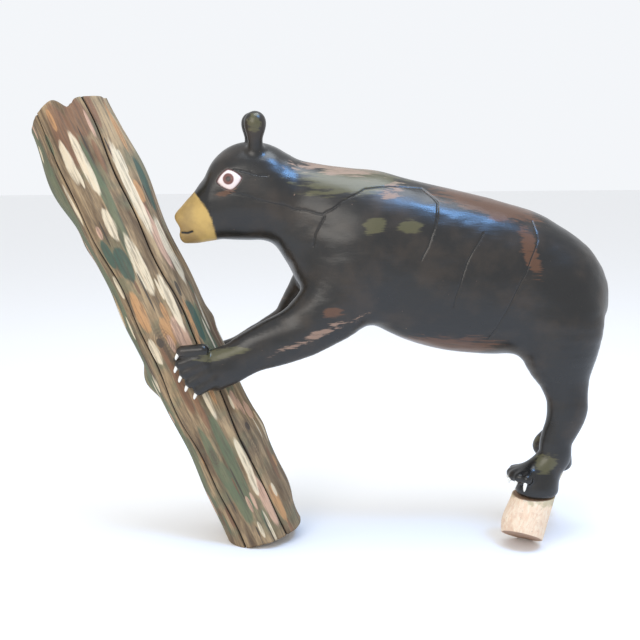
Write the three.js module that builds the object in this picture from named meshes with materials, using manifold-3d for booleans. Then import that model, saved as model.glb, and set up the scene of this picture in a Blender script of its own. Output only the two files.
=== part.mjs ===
// A carved and painted black bear that climbs a leaning log, its hind feet on two short posts.
// Millimetres, +Z up. The bear faces -X. The origin is under the middle of the whole work, on the
// ground. All sizes below are in the carver's own frame, where X = 0 is the bear's shoulder, Y = 0
// its middle plane and Z = 0 the ground; the group is centred at the end.
import * as THREE from 'three';
import Module from 'manifold-3d';
import { mergeVertices } from 'three/addons/utils/BufferGeometryUtils.js';
import { SimplifyModifier } from 'three/addons/modifiers/SimplifyModifier.js';

// ---------------------------------------------------------------- driving dimensions
const FIT_GAP = 0.5;                 // clearance where two pieces touch
const NEAR = - 1;                    // side of the body towards -Y
const FAR = 1;

// The log: a round stick that leans, from the middle of its sawn foot to its broken top.
const LOG_FOOT = new THREE.Vector3( - 115, 0, 11 );
const LOG_LEAN = THREE.MathUtils.degToRad( 23.1 );
const LOG_END_SLANT = 0.13;          // the sawn foot is nearer level than square, by this slope
const LOG_RADIUS = 79;
const LOG_SIDES = 24;
const LOG_RINGS = 38;
// knots, swellings and dents: [distance up the log, angle round it, width, height];
// 0 degrees is its +X side and 90 its far side
const LOG_KNOTS = [
	[ 796, 180, 56, 14 ], [ 780, 0, 42, 9 ], [ 680, 190, 20, 5 ], [ 530, 188, 30, 4 ],
	[ 455, 2, 14, 6 ], [ 212, 0, 20, 4 ], [ 385, 180, 26, 19 ], [ 444, 180, 18, - 8 ],
	[ 700, 60, 34, 8 ], [ 300, 110, 30, 7 ], [ 560, 130, 28, 6 ], [ 14, 0, 30, - 13 ],
	[ 905, 0, 30, - 7 ],
];
const LOG_TOP_LEVEL = 891;           // height of the broken top
const LOG_TOP_NOTCH = [ 19, 20, 14 ]; // the break between its two lobes: depth, place across, width
const LOG_TOP_CORNER = [ 66, 12, 90 ]; // the lost outer corner: depth, where it starts, reach

// The trunk, nose to rump: [x, top, bottom, half width, swing towards -Y]
const TRUNK = [
	[ - 312, 634, 617, 16, 19 ], [ - 281, 667, 615, 26, 16 ], [ - 259, 692, 612, 33, 15 ],
	[ - 238, 715, 612, 40, 12 ], [ - 221, 738, 614, 47, 11 ], [ - 207, 765, 616, 54, 9 ],
	[ - 189, 784, 618, 60, 6 ], [ - 166, 798, 617, 66, 4 ], [ - 140, 805, 616, 69, 3 ],
	[ - 107, 803, 615, 71, 2 ], [ - 84, 795, 602, 72, 1 ], [ - 60, 781, 564, 73, 0 ],
	[ - 32, 768, 516, 77, 0 ], [ 30, 757, 474, 92, 0 ], [ 108, 748, 445, 103, 0 ],
	[ 166, 734, 416, 109, 0 ], [ 225, 719, 399, 113, 0 ], [ 283, 705, 390, 114, 0 ],
	[ 342, 690, 386, 112, 0 ], [ 401, 673, 390, 106, 0 ], [ 438, 658, 400, 97, 0 ],
	[ 475, 636, 416, 86, 0 ], [ 503, 616, 430, 76, 0 ], [ 527, 594, 440, 64, 0 ],
	[ 547, 569, 447, 50, 0 ], [ 558, 549, 453, 40, 0 ], [ 566, 529, 462, 28, 0 ],
	[ 570, 511, 476, 13, 0 ],
];
const TRUNK_SQUARENESS = 2.35;       // exponent of its superellipse sections
const TRUNK_STEP = 2;                // spacing of the worked-out sections
const MUZZLE_FRONT = - 281;          // the blunt front of the snout
const MUZZLE_SLOPE = 0.27;
const NOSE_UNDERCUT = [ 6.5, 643, 12 ]; // the hollow under the nose: depth, level, width

// Limbs: [x, distance from the middle plane, z, radius], from inside the body outwards
const FORELEG = [
	[ 89, 44, 592, 98 ], [ 62, 52, 543, 85 ], [ 28, 58, 497, 71 ], [ - 9, 62, 464, 59 ],
	[ - 43, 65, 442, 52 ], [ - 92, 69, 422, 47 ], [ - 128, 73, 408, 42 ], [ - 157, 77, 393, 39 ],
	[ - 182, 80, 381, 40 ], [ - 204, 82, 373, 41 ],
];
const FORELEG_FLATNESS = 0.62;       // thickness across the body over height
const FAR_SHOULDER_SHIFT = new THREE.Vector3( - 23, 0, 0 );
const FAR_PAW_SHIFT = new THREE.Vector3( - 2, 0, - 21 );
const FAR_ELBOW_SPAN = [ 0.2, 0.62 ]; // the part of the far foreleg over which its shift changes
const HIND_LEG = [
	[ 462, 40, 520, 84 ], [ 467, 46, 456, 86 ], [ 469, 50, 398, 72 ], [ 477, 56, 352, 51 ],
	[ 484, 60, 311, 41 ], [ 485, 62, 277, 39 ], [ 476, 64, 248, 34 ], [ 465, 65, 218, 31 ],
	[ 461, 66, 184, 32 ], [ 436, 66, 154, 33 ],
];
const HIND_LEG_FLATNESS = 0.8;
const FAR_HIND_SHIFT = new THREE.Vector3( 43, 0, 14 );
const FAR_HIND_SLIMMER = 4;          // how much thinner the far leg is

// Ears: knobs on short stems, the far one further forward because the head turns to the near side
const EAR = [ [ - 119, 38, 782, 18 ], [ - 119, 48, 808, 13.5 ], [ - 118.5, 50, 835, 20 ],
	[ - 118.5, 50, 842, 20.5 ] ];
const FAR_EAR_SHIFT = - 13;

// Toes of a forepaw, laid side by side over the bark: [root x, root z, tip x, tip z]
const FORE_TOES = [
	[ - 224, 416, - 264, 412 ], [ - 224, 402, - 268, 388 ], [ - 221, 389, - 261, 370 ],
	[ - 215, 373, - 250, 352 ], [ - 204, 357, - 234, 337 ],
];
const FORE_TOE_SIDES = [ 97, 93 ];   // distance of their roots and tips from the middle plane
const TOE_RADIUS = 11.5;

// Hind feet: sole height, middle, half length, and the directions of the toes round the front
const HIND_FEET = [
	{ side: NEAR, sole: 108, x: 425, half: 49 },
	{ side: FAR, sole: 118, x: 499, half: 34 },
];
const FOOT_SIDE = 66;
const FOOT_HALF_WIDTH = 42;
const FOOT_MIDDLE_HEIGHT = 14;       // of its widest level over the sole
const FOOT_HALF_HEIGHT = 50;
const HEEL_BACK = 5;                 // the foot's middle behind the middle of the toes' ring
const TOES_PAST_SOLE = 6;
const SOLE_ROUNDING = 14;
const HIND_TOES = [ [ - 34, 4 ], [ - 10, 6 ], [ 14, 9 ], [ 37, 16 ], [ 60, 16 ] ]; // [turn, claw length]
const TOE_ROOT_HEIGHT = 52;          // over the sole
const TOE_TIP_HEIGHT = 43;

const FORE_CLAW_LENGTH = 12;
const CLAW_RADIUS = 5.5;
const CLAW_SIDES = 6;

// Posts: leaning poles that meet the foot's sole level and are sawn aslant at the ground. The end
// rises towards -X and outwards by these slopes, so that each post stands on its inner back edge.
const POST_SIDES = 24;
const POST_RINGS = 5;
const POST_BELLY = 6;                // swelling on its -X side, low down
const POST_END_SLOPES = { x: - 0.3, y: 0.535 };
const POSTS = [
	{ name: 'hind_post_near', side: NEAR, radius: 41, sole: [ 424.5, - 66, 108 ], foot: [ 402, - 72, 21.5 ] },
	{ name: 'hind_post_far', side: FAR, radius: 33, sole: [ 484, 66, 118 ], foot: [ 446, 72, 17 ] },
];

// Faceting
const CELL = 7;                      // grid that the bear's surface is traced on
const BEAR_TRIANGLES = 6560;

// ---------------------------------------------------------------- finishes
const blackPaint = new THREE.MeshStandardMaterial( { color: 0x17130f, roughness: 0.38, metalness: 0 } );
const weatheredWood = new THREE.MeshStandardMaterial( { color: 0x8a7350, roughness: 0.85, metalness: 0 } );
const bareWood = new THREE.MeshStandardMaterial( { color: 0xc9a27c, roughness: 0.8, metalness: 0 } );

// ---------------------------------------------------------------- fields
// A field is a function of a point that is negative inside a form and grows with distance from it.

function melt( a, b, width ) {       // joins two forms, with a fillet of about that width

	const h = Math.max( width - Math.abs( a - b ), 0 ) / width;
	return Math.min( a, b ) - h * h * width / 4;

}

function trim( a, b, width ) {       // keeps what lies inside both forms, with a rounded edge

	return - melt( - a, - b, width );

}

function smoothRows( rows, steps ) { // a Catmull-Rom curve through rows of any length

	const out = [];
	for ( let i = 0; i < rows.length - 1; i ++ ) {

		const p = [ i - 1, i, i + 1, i + 2 ].map( k => rows[ THREE.MathUtils.clamp( k, 0, rows.length - 1 ) ] );
		for ( let s = 0; s < steps; s ++ ) {

			const t = s / steps;
			out.push( rows[ i ].map( ( _, c ) => catmull( p[ 0 ][ c ], p[ 1 ][ c ], p[ 2 ][ c ], p[ 3 ][ c ], t ) ) );

		}

	}

	out.push( rows[ rows.length - 1 ].slice() );
	return out;

}

function catmull( a, b, c, d, t ) {

	const v0 = ( c - a ) / 2;
	const v1 = ( d - b ) / 2;
	return b + v0 * t + ( 3 * ( c - b ) - 2 * v0 - v1 ) * t * t + ( 2 * ( b - c ) + v0 + v1 ) * t * t * t;

}

function limb( rows, flatness, side, steps = 4 ) { // a tapering limb along a curve, flattened across Y

	const path = smoothRows( rows, steps ).map( r => [ r[ 0 ], side * r[ 1 ] / flatness, r[ 2 ], r[ 3 ] ] );
	const scale = Math.min( 1, flatness );
	return ( x, y, z ) => {

		const v = y / flatness;
		let best = Infinity;
		for ( let i = 0; i < path.length - 1; i ++ ) {

			const a = path[ i ];
			const b = path[ i + 1 ];
			const ex = b[ 0 ] - a[ 0 ];
			const ey = b[ 1 ] - a[ 1 ];
			const ez = b[ 2 ] - a[ 2 ];
			const px = x - a[ 0 ];
			const py = v - a[ 1 ];
			const pz = z - a[ 2 ];
			const along = ( px * ex + py * ey + pz * ez ) / ( ex * ex + ey * ey + ez * ez );
			const t = Math.min( 1, Math.max( 0, along ) );
			const d = Math.hypot( px - t * ex, py - t * ey, pz - t * ez ) - a[ 3 ] - t * ( b[ 3 ] - a[ 3 ] );
			if ( d < best ) best = d;

		}

		return best * scale;

	};

}

function egg( cx, cy, cz, rx, ry, rz ) { // an ellipsoid

	return ( x, y, z ) => {

		const ux = ( x - cx ) / rx;
		const uy = ( y - cy ) / ry;
		const uz = ( z - cz ) / rz;
		const reach = Math.hypot( ux, uy, uz );
		return reach * ( reach - 1 ) / Math.max( Math.hypot( ux / rx, uy / ry, uz / rz ), 1e-6 );

	};

}

function trunk() {

	const rows = smoothRows( TRUNK, 8 );
	const first = TRUNK[ 0 ][ 0 ];
	const last = TRUNK[ TRUNK.length - 1 ][ 0 ];
	const count = Math.floor( ( last - first ) / TRUNK_STEP ) + 1;
	const table = [];
	for ( let i = 0, j = 0; i < count; i ++ ) {

		const x = first + i * TRUNK_STEP;
		while ( j < rows.length - 2 && rows[ j + 1 ][ 0 ] < x ) j ++;
		const t = ( x - rows[ j ][ 0 ] ) / ( rows[ j + 1 ][ 0 ] - rows[ j ][ 0 ] );
		table.push( rows[ j ].map( ( v, c ) => v + t * ( rows[ j + 1 ][ c ] - v ) ) );

	}

	const n = TRUNK_SQUARENESS;
	return ( x, y, z ) => {

		const at = THREE.MathUtils.clamp( ( x - first ) / TRUNK_STEP, 0, count - 1.001 );
		const i = Math.floor( at );
		const t = at - i;
		const a = table[ i ];
		const b = table[ i + 1 ];
		const top = a[ 1 ] + t * ( b[ 1 ] - a[ 1 ] );
		const bottom = a[ 2 ] + t * ( b[ 2 ] - a[ 2 ] );
		const half = a[ 3 ] + t * ( b[ 3 ] - a[ 3 ] );
		const dy = y + a[ 4 ] + t * ( b[ 4 ] - a[ 4 ] );
		const dz = z - ( top + bottom ) / 2;
		const rho = ( Math.abs( dy / half ) ** n + Math.abs( dz / ( top - bottom ) * 2 ) ** n ) ** ( 1 / n );
		const shell = Math.hypot( dy, dz ) * ( 1 - 1 / Math.max( rho, 1e-4 ) );
		const past = Math.max( x - last, first - x );
		return past > 0 ? Math.hypot( Math.max( shell, 0 ), past ) : shell;

	};

}

function toe( from, to ) {

	const axis = to.clone().sub( from );
	const reach = axis.lengthSq();
	return ( x, y, z ) => {

		const px = x - from.x;
		const py = y - from.y;
		const pz = z - from.z;
		const t = THREE.MathUtils.clamp( ( px * axis.x + py * axis.y + pz * axis.z ) / reach, 0, 1 );
		return Math.hypot( px - t * axis.x, py - t * axis.y, pz - t * axis.z ) - TOE_RADIUS;

	};

}

function toeLines() {                // every toe, from its root to the middle of its tip, and its claw

	const lines = [];
	for ( const side of [ NEAR, FAR ] ) {

		const shift = side === FAR ? FAR_PAW_SHIFT : new THREE.Vector3();
		for ( const [ rootX, rootZ, tipX, tipZ ] of FORE_TOES ) {

			const from = new THREE.Vector3( rootX, side * FORE_TOE_SIDES[ 0 ], rootZ ).add( shift );
			const to = new THREE.Vector3( tipX, side * FORE_TOE_SIDES[ 1 ], tipZ ).add( shift );
			lines.push( { from, to, bulge: side * 0.6, clawLength: FORE_CLAW_LENGTH } );

		}

	}

	for ( const { side, sole, x, half } of HIND_FEET ) {

		for ( const [ degrees, clawLength ] of HIND_TOES ) {

			const turn = THREE.MathUtils.degToRad( degrees );
			const way = new THREE.Vector3( - Math.cos( turn ) * half, side * Math.sin( turn ) * FOOT_HALF_WIDTH, 0 );
			const middle = new THREE.Vector3( x, side * FOOT_SIDE, sole + TOE_TIP_HEIGHT );
			const from = middle.clone().addScaledVector( way, 0.35 ).setZ( sole + TOE_ROOT_HEIGHT );
			const to = middle.clone().addScaledVector( way, 0.9 );
			lines.push( { from, to, bulge: 0, clawLength } );

		}

	}

	return lines;

}

function bearField() {

	const body = trunk();
	const [ depth, level, breadth ] = NOSE_UNDERCUT;
	const forms = [];                // each with the width of the fillet that joins it to the rest
	for ( const side of [ NEAR, FAR ] ) {

		const far = side === FAR ? 1 : 0;
		const fore = FORELEG.map( ( [ x, y, z, r ], i ) => {

			const down = THREE.MathUtils.smoothstep( i / ( FORELEG.length - 1 ), ...FAR_ELBOW_SPAN );
			const shift = FAR_SHOULDER_SHIFT.clone().lerp( FAR_PAW_SHIFT, down );
			return [ x + far * shift.x, y, z + far * shift.z, r ];

		} );
		const hind = HIND_LEG.map( ( [ x, y, z, r ], i ) => {

			const down = far * i / HIND_LEG.length;
			const back = Math.min( down * 1.6, 1 ) * FAR_HIND_SHIFT.x;
			return [ x + back, y, z + down * FAR_HIND_SHIFT.z, r - far * FAR_HIND_SLIMMER ];

		} );
		const ear = EAR.map( ( [ x, y, z, r ] ) => [ x + far * FAR_EAR_SHIFT, y, z, r ] );
		forms.push( [ limb( fore, FORELEG_FLATNESS, side ), 26 ] );
		forms.push( [ limb( hind, HIND_LEG_FLATNESS, side ), 28 ] );
		forms.push( [ limb( ear, 0.9, side ), 8 ] );

	}

	for ( const { side, sole, x, half } of HIND_FEET ) {

		const foot = egg( x + HEEL_BACK, side * FOOT_SIDE, sole + FOOT_MIDDLE_HEIGHT,
			half - TOES_PAST_SOLE, FOOT_HALF_WIDTH, FOOT_HALF_HEIGHT );
		const blunt = ( px, py, pz ) => trim( foot( px, py, pz ), sole - pz, SOLE_ROUNDING );
		forms.push( [ blunt, 16 ] );

	}

	for ( const { from, to } of toeLines() ) forms.push( [ toe( from, to ), 5 ] );

	return ( x, y, z ) => {

		const undercut = depth * Math.exp( - ( ( ( z - level ) / breadth ) ** 2 ) );
		const muzzle = MUZZLE_FRONT + MUZZLE_SLOPE * ( TRUNK[ 1 ][ 1 ] - z ) + undercut - x;
		let d = trim( body( x, y, z ), muzzle, 8 );
		for ( const [ form, width ] of forms ) d = melt( d, form( x, y, z ), width );
		return d;

	};

}

// ---------------------------------------------------------------- field to faceted solid
// The six tetrahedra of a cube share its long diagonal; each steps from corner 0 to corner 7.
const CORNERS = [ ...Array( 8 ).keys() ].map( c => new THREE.Vector3( c & 1, c >> 1 & 1, c >> 2 & 1 ) );
const TETRAHEDRA = [ [ 1, 2 ], [ 1, 4 ], [ 2, 1 ], [ 2, 4 ], [ 4, 1 ], [ 4, 2 ] ].map(
	( [ a, b ] ) => [ 0, a, a + b, 7 ] );

function cutsOf( tetra ) {           // for each mix of inside corners, the triangles that part them

	const middle = ( [ a, b ] ) => CORNERS[ a ].clone().add( CORNERS[ b ] ).multiplyScalar( 0.5 );
	const cuts = [ [] ];
	for ( let mask = 1; mask < 15; mask ++ ) {

		const inside = tetra.filter( ( _, i ) => mask >> i & 1 );
		const outside = tetra.filter( ( _, i ) => ! ( mask >> i & 1 ) );
		let ring;
		if ( inside.length === 2 ) {

			const [ i, j ] = inside;
			const [ p, q ] = outside;
			ring = [ [ i, p ], [ i, q ], [ j, q ], [ j, p ] ];

		} else {

			ring = inside.flatMap( i => outside.map( o => [ i, o ] ) );

		}

		const [ a, b, c ] = ring.slice( 0, 3 ).map( middle );
		const normal = b.sub( a ).cross( c.sub( a ) );
		const way = CORNERS[ outside[ 0 ] ].clone().sub( CORNERS[ inside[ 0 ] ] );
		if ( normal.dot( way ) < 0 ) ring.reverse();
		cuts.push( ring.length === 4
			? [ [ ring[ 0 ], ring[ 1 ], ring[ 2 ] ], [ ring[ 0 ], ring[ 2 ], ring[ 3 ] ] ]
			: [ ring ] );

	}

	cuts.push( [] );
	return cuts;

}

function traceSurface( field, box, cell ) {

	const size = box.getSize( new THREE.Vector3() ).divideScalar( cell ).ceil().addScalar( 1 );
	const stride = [ 1, size.x, size.x * size.y ];
	const values = new Float32Array( size.x * size.y * size.z );
	const place = index => new THREE.Vector3( index % size.x, Math.floor( index / size.x ) % size.y,
		Math.floor( index / stride[ 2 ] ) ).multiplyScalar( cell ).add( box.min );
	for ( let index = 0, k = 0; k < size.z; k ++ ) {

		for ( let j = 0; j < size.y; j ++ ) {

			for ( let i = 0; i < size.x; i ++, index ++ ) {

				const v = field( box.min.x + i * cell, box.min.y + j * cell, box.min.z + k * cell );
				values[ index ] = Math.abs( v ) < 1e-3 ? 1e-3 : v;

			}

		}

	}

	const step = CORNERS.map( c => c.x * stride[ 0 ] + c.y * stride[ 1 ] + c.z * stride[ 2 ] );
	const cuts = TETRAHEDRA.map( cutsOf );
	const seen = new Map();
	const points = [];
	const faces = [];
	const crossing = ( from, to ) => {

		const low = Math.min( from, to );
		const high = Math.max( from, to );
		const key = low * 8 + step.indexOf( high - low );
		if ( ! seen.has( key ) ) {

			const t = values[ low ] / ( values[ low ] - values[ high ] );
			const p = place( low ).lerp( place( high ), THREE.MathUtils.clamp( t, 0.04, 0.96 ) );
			seen.set( key, points.length / 3 );
			points.push( p.x, p.y, p.z );

		}

		return seen.get( key );

	};

	for ( let k = 0; k < size.z - 1; k ++ ) {

		for ( let j = 0; j < size.y - 1; j ++ ) {

			for ( let i = 0; i < size.x - 1; i ++ ) {

				const base = i + j * stride[ 1 ] + k * stride[ 2 ];
				const signs = step.reduce( ( sum, s ) => sum + ( values[ base + s ] < 0 ? 1 : 0 ), 0 );
				if ( signs === 0 || signs === 8 ) continue;
				TETRAHEDRA.forEach( ( tetra, which ) => {

					const mask = tetra.reduce( ( m, c, bit ) => m | ( values[ base + step[ c ] ] < 0 ? 1 << bit : 0 ), 0 );
					for ( const triangle of cuts[ which ][ mask ] ) {

						faces.push( ...triangle.map( ( [ a, b ] ) => crossing( base + step[ a ], base + step[ b ] ) ) );

					}

				} );

			}

		}

	}

	return indexed( points, faces );

}

function indexed( points, faces ) {

	const geometry = new THREE.BufferGeometry();
	geometry.setAttribute( 'position', new THREE.BufferAttribute( new Float32Array( points ), 3 ) );
	geometry.setIndex( new THREE.BufferAttribute( new Uint32Array( faces ), 1 ) );
	return geometry;

}

async function facetTo( geometry, triangles ) { // fewer, better placed facets on the same form

	const now = geometry.index.count / 3;
	const surplus = geometry.attributes.position.count * ( 1 - triangles / now );
	return new SimplifyModifier().modify( geometry, surplus );

}

// ---------------------------------------------------------------- lofts and booleans
const wasm = await Module();
wasm.setup();

function solid( geometry ) {

	const bare = geometry.clone();
	bare.deleteAttribute( 'normal' );
	bare.deleteAttribute( 'uv' );
	const merged = mergeVertices( bare, 1e-3 );
	return new wasm.Manifold( new wasm.Mesh( {
		numProp: 3,
		vertProperties: new Float32Array( merged.attributes.position.array ),
		triVerts: new Uint32Array( merged.index.array ),
	} ) );

}

function skin( manifold ) {

	const mesh = manifold.getMesh();
	return indexed( mesh.vertProperties, mesh.triVerts );

}

function loft( rings ) {             // rings of points, closed at both ends by a fan to their middle

	const sides = rings[ 0 ].length;
	const points = rings.flat().flatMap( p => [ p.x, p.y, p.z ] );
	const faces = [];
	for ( let r = 0; r < rings.length - 1; r ++ ) {

		for ( let s = 0; s < sides; s ++ ) {

			const a = r * sides + s;
			const b = r * sides + ( s + 1 ) % sides;
			faces.push( a, b, a + sides, b, b + sides, a + sides );

		}

	}

	for ( const [ ring, flip ] of [ [ 0, true ], [ rings.length - 1, false ] ] ) {

		const middle = rings[ ring ].reduce( ( sum, p ) => sum.add( p ), new THREE.Vector3() ).divideScalar( sides );
		const hub = points.length / 3;
		points.push( middle.x, middle.y, middle.z );
		for ( let s = 0; s < sides; s ++ ) {

			const a = ring * sides + s;
			const b = ring * sides + ( s + 1 ) % sides;
			faces.push( ...( flip ? [ b, a, hub ] : [ a, b, hub ] ) );

		}

	}

	return indexed( points, faces );

}

function ground( geometry ) {        // cuts off what would reach below the ground

	const slab = new THREE.BoxGeometry( 3000, 3000, 400 ).translate( 0, 0, - 200 );
	return solid( geometry ).subtract( solid( slab ) );

}

// ---------------------------------------------------------------- the pieces
const LOG_AXIS = new THREE.Vector3( - Math.sin( LOG_LEAN ), 0, Math.cos( LOG_LEAN ) );
const LOG_RIGHT = new THREE.Vector3( Math.cos( LOG_LEAN ), 0, Math.sin( LOG_LEAN ) );
const ACROSS = new THREE.Vector3( 0, 1, 0 );

function logRadius( along, angle ) {

	const flats = 2.2 * Math.cos( 3 * angle + 0.6 ) + 1.6 * Math.cos( 5 * angle - along / 310 );
	const waves = 1.6 * Math.sin( along / 61 + 2 * angle ) + 1.3 * Math.sin( along / 27 - angle );
	let radius = LOG_RADIUS + flats + waves;
	for ( const [ up, degrees, width, height ] of LOG_KNOTS ) {

		let turn = angle - THREE.MathUtils.degToRad( degrees );
		turn = Math.atan2( Math.sin( turn ), Math.cos( turn ) ) * LOG_RADIUS;
		radius += height * Math.exp( - ( ( along - up ) ** 2 / 2 + turn ** 2 ) / width ** 2 );

	}

	return radius;

}

function logTop( across ) {          // height of the broken top, across the log from its outer side

	const [ depth, place, width ] = LOG_TOP_NOTCH;
	const [ fall, start, reach ] = LOG_TOP_CORNER;
	const notch = depth * Math.exp( - ( ( ( across - place ) / width ) ** 2 ) );
	const corner = fall * Math.max( 0, ( start - across ) / reach ) ** 1.3;
	return LOG_TOP_LEVEL - notch - corner;

}

function logGeometry( swell = 0 ) {

	const rings = [];
	for ( let r = 0; r <= LOG_RINGS; r ++ ) {

		const ring = [];
		for ( let s = 0; s < LOG_SIDES; s ++ ) {

			const angle = s / LOG_SIDES * 2 * Math.PI;
			const across = Math.cos( angle ) * LOG_RADIUS;
			const from = - LOG_END_SLANT * across;
			const to = ( logTop( across ) - LOG_FOOT.z - LOG_RIGHT.z * across ) / LOG_AXIS.z;
			const along = THREE.MathUtils.lerp( from - swell, to + swell, r / LOG_RINGS );
			const radius = logRadius( along, angle ) + swell;
			ring.push( LOG_FOOT.clone().addScaledVector( LOG_AXIS, along )
				.addScaledVector( LOG_RIGHT, Math.cos( angle ) * radius )
				.addScaledVector( ACROSS, Math.sin( angle ) * radius ) );

		}

		rings.push( ring );

	}

	return loft( rings );

}

function clawGeometry( { from, to, bulge, clawLength } ) { // a cone that hooks down from a toe's tip

	const way = to.clone().sub( from ).normalize();
	const root = new THREE.Vector3( way.x, way.y + bulge, way.z - 0.3 ).normalize();
	const claw = new THREE.Vector3( way.x * 0.35, way.y * 0.35 + bulge / 6, - 0.9 ).normalize();
	const cone = new THREE.ConeGeometry( CLAW_RADIUS, clawLength + 4, CLAW_SIDES, 1 );
	cone.applyQuaternion( new THREE.Quaternion().setFromUnitVectors( new THREE.Vector3( 0, 1, 0 ), claw ) );
	const middle = to.clone().addScaledVector( root, TOE_RADIUS - 3 ).addScaledVector( claw, clawLength / 2 - 2 );
	return cone.translate( middle.x, middle.y, middle.z );

}

function postGeometry( { side, radius, sole, foot } ) {

	const top = new THREE.Vector3( ...sole );
	top.z -= FIT_GAP;
	const end = new THREE.Vector3( ...foot );
	const axis = end.clone().sub( top ).normalize();
	const right = new THREE.Vector3( 1, 0, 0 ).projectOnPlane( axis ).normalize();
	const front = axis.clone().cross( right ).normalize();
	const sawn = new THREE.Vector3( - POST_END_SLOPES.x, side * - POST_END_SLOPES.y, 1 );
	const level = new THREE.Vector3( 0, 0, 1 );
	const meet = ( from, normal, through ) => from.clone().addScaledVector( axis,
		through.clone().sub( from ).dot( normal ) / axis.dot( normal ) );
	const rings = [];
	for ( let r = 0; r <= POST_RINGS; r ++ ) {

		const down = r / POST_RINGS;
		const ring = [];
		for ( let s = 0; s < POST_SIDES; s ++ ) {

			const angle = s / POST_SIDES * 2 * Math.PI;
			const belly = POST_BELLY * Math.sin( Math.PI * down ** 1.5 ) * Math.max( 0, - Math.cos( angle ) );
			const out = right.clone().multiplyScalar( Math.cos( angle ) * ( radius + belly ) )
				.addScaledVector( front, Math.sin( angle ) * ( radius + belly ) ).add( top );
			ring.push( meet( out, level, top ).lerp( meet( out, sawn, end ), down ) );

		}

		rings.push( ring );

	}

	return loft( rings );

}

function carveBear( traced ) {        // claws on, then the bark's and the posts' places cut away

	let bear = solid( traced );
	for ( const line of toeLines() ) bear = bear.add( solid( clawGeometry( line ) ) );
	bear = bear.subtract( solid( logGeometry( FIT_GAP ) ) );
	for ( const { side, sole, x } of HIND_FEET ) {

		const room = new THREE.BoxGeometry( 220, 110, 60 ).translate( x, side * FOOT_SIDE, sole - 30 );
		bear = bear.subtract( solid( room ) );

	}

	return bear;

}

const BEAR_BOX = new THREE.Box3( new THREE.Vector3( - 300, - 140, 80 ), new THREE.Vector3( 590, 140, 880 ) );
const bear = carveBear( await facetTo( traceSurface( bearField(), BEAR_BOX, CELL ), BEAR_TRIANGLES ) );
const pieces = [ [ 'log', ground( logGeometry() ), weatheredWood ], [ 'bear', bear, blackPaint ] ];
for ( const post of POSTS ) pieces.push( [ post.name, ground( postGeometry( post ) ), bareWood ] );

const group = new THREE.Group();
for ( const [ name, manifold, material ] of pieces ) {

	const mesh = new THREE.Mesh( skin( manifold ), material );
	mesh.name = name;
	group.add( mesh );

}

const bounds = new THREE.Box3().setFromObject( group );
const centre = bounds.getCenter( new THREE.Vector3() );
for ( const mesh of group.children ) mesh.geometry.translate( - centre.x, - centre.y, 0 );

export default group;
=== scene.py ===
# %% [markdown]
# # A painted bear that climbs a leaning log
#
# The real object is a chainsaw carving: one black-painted bear, the weathered log that it climbs, and two
# short posts of bare wood under its hind feet. The CAD model already fixes where everything is. This lesson
# loads it as a frame and dresses each of its four solids with a finer mesh and a finish of shader nodes.

# %% Load the frame
import math

import bpy
import numpy as np
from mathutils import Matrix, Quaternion, Vector


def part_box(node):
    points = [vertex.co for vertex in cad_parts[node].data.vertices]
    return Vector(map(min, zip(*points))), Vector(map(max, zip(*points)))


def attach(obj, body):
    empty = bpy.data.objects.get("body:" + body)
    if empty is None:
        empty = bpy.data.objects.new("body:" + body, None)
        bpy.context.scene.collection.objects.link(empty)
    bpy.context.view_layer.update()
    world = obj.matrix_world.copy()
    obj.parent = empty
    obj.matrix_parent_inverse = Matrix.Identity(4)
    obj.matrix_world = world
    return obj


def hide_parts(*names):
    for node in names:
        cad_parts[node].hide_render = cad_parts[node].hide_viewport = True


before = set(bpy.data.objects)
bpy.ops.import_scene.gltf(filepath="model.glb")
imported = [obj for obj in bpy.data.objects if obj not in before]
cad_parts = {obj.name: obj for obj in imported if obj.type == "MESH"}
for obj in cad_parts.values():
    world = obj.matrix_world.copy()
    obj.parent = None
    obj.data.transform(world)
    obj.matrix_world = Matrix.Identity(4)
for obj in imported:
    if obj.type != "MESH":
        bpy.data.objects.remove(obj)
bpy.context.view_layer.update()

# %% [markdown]
# The carver's drawing is in millimetres, with X = 0 at the bear's shoulder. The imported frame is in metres
# and centred. The log's box ties the two together, so every size below can stay in the drawing's own
# millimetres and is moved by one function.

# %% From the drawing to the frame
MM = 0.001
DRAWN_LOG_CORNER = np.array([-548.84, -79.86, 0.0])
SHIFT = np.array(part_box("log")[0]) / MM - DRAWN_LOG_CORNER
NEAR, FAR = -1, 1


def placed(points):
    """Points of the drawing, in millimetres, as points of the frame, in metres."""
    return (np.asarray(points, float) + SHIFT) * MM


print("the drawing moves by", SHIFT.round(2), "mm")

# %% [markdown]
# The camera comes first, because it decides how fine each surface has to be. It stands a little above the
# bear's middle and looks at its left flank with a normal lens.

# %% Camera
camera_data = bpy.data.cameras.new("camera")
camera_data.lens = 53.44
camera_data.sensor_width = 36
camera = bpy.data.objects.new("camera", camera_data)
bpy.context.scene.collection.objects.link(camera)
camera_place = Vector(placed([0.0, -1865.1, 816.0]))
looked_at = Vector(placed([0.0, 0.0, 453.5]))
aim = (looked_at - camera_place).to_track_quat("-Z", "Y")
camera.location = camera_place
camera.rotation_mode = "QUATERNION"
camera.rotation_quaternion = aim @ Quaternion((0, 0, 1), math.radians(-0.5))
bpy.context.scene.camera = camera
print("camera at", [round(v, 3) for v in camera_place])

# %% [markdown]
# A carved form is easiest to describe as a field: a number for every point in space that is negative in the
# wood and grows with the distance from it. Two forms that flow into each other are melted together, which
# leaves a fillet, and a form is trimmed by another with a rounded edge.

# %% Fields: melting and trimming


def melt(a, b, width):
    """Both forms joined, with a fillet of about that width."""
    h = np.maximum(width - np.abs(a - b), 0) / width
    return np.minimum(a, b) - h * h * width / 4


def trim(a, b, width):
    """What lies in both forms, with a rounded edge."""
    return -melt(-a, -b, width)


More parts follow.
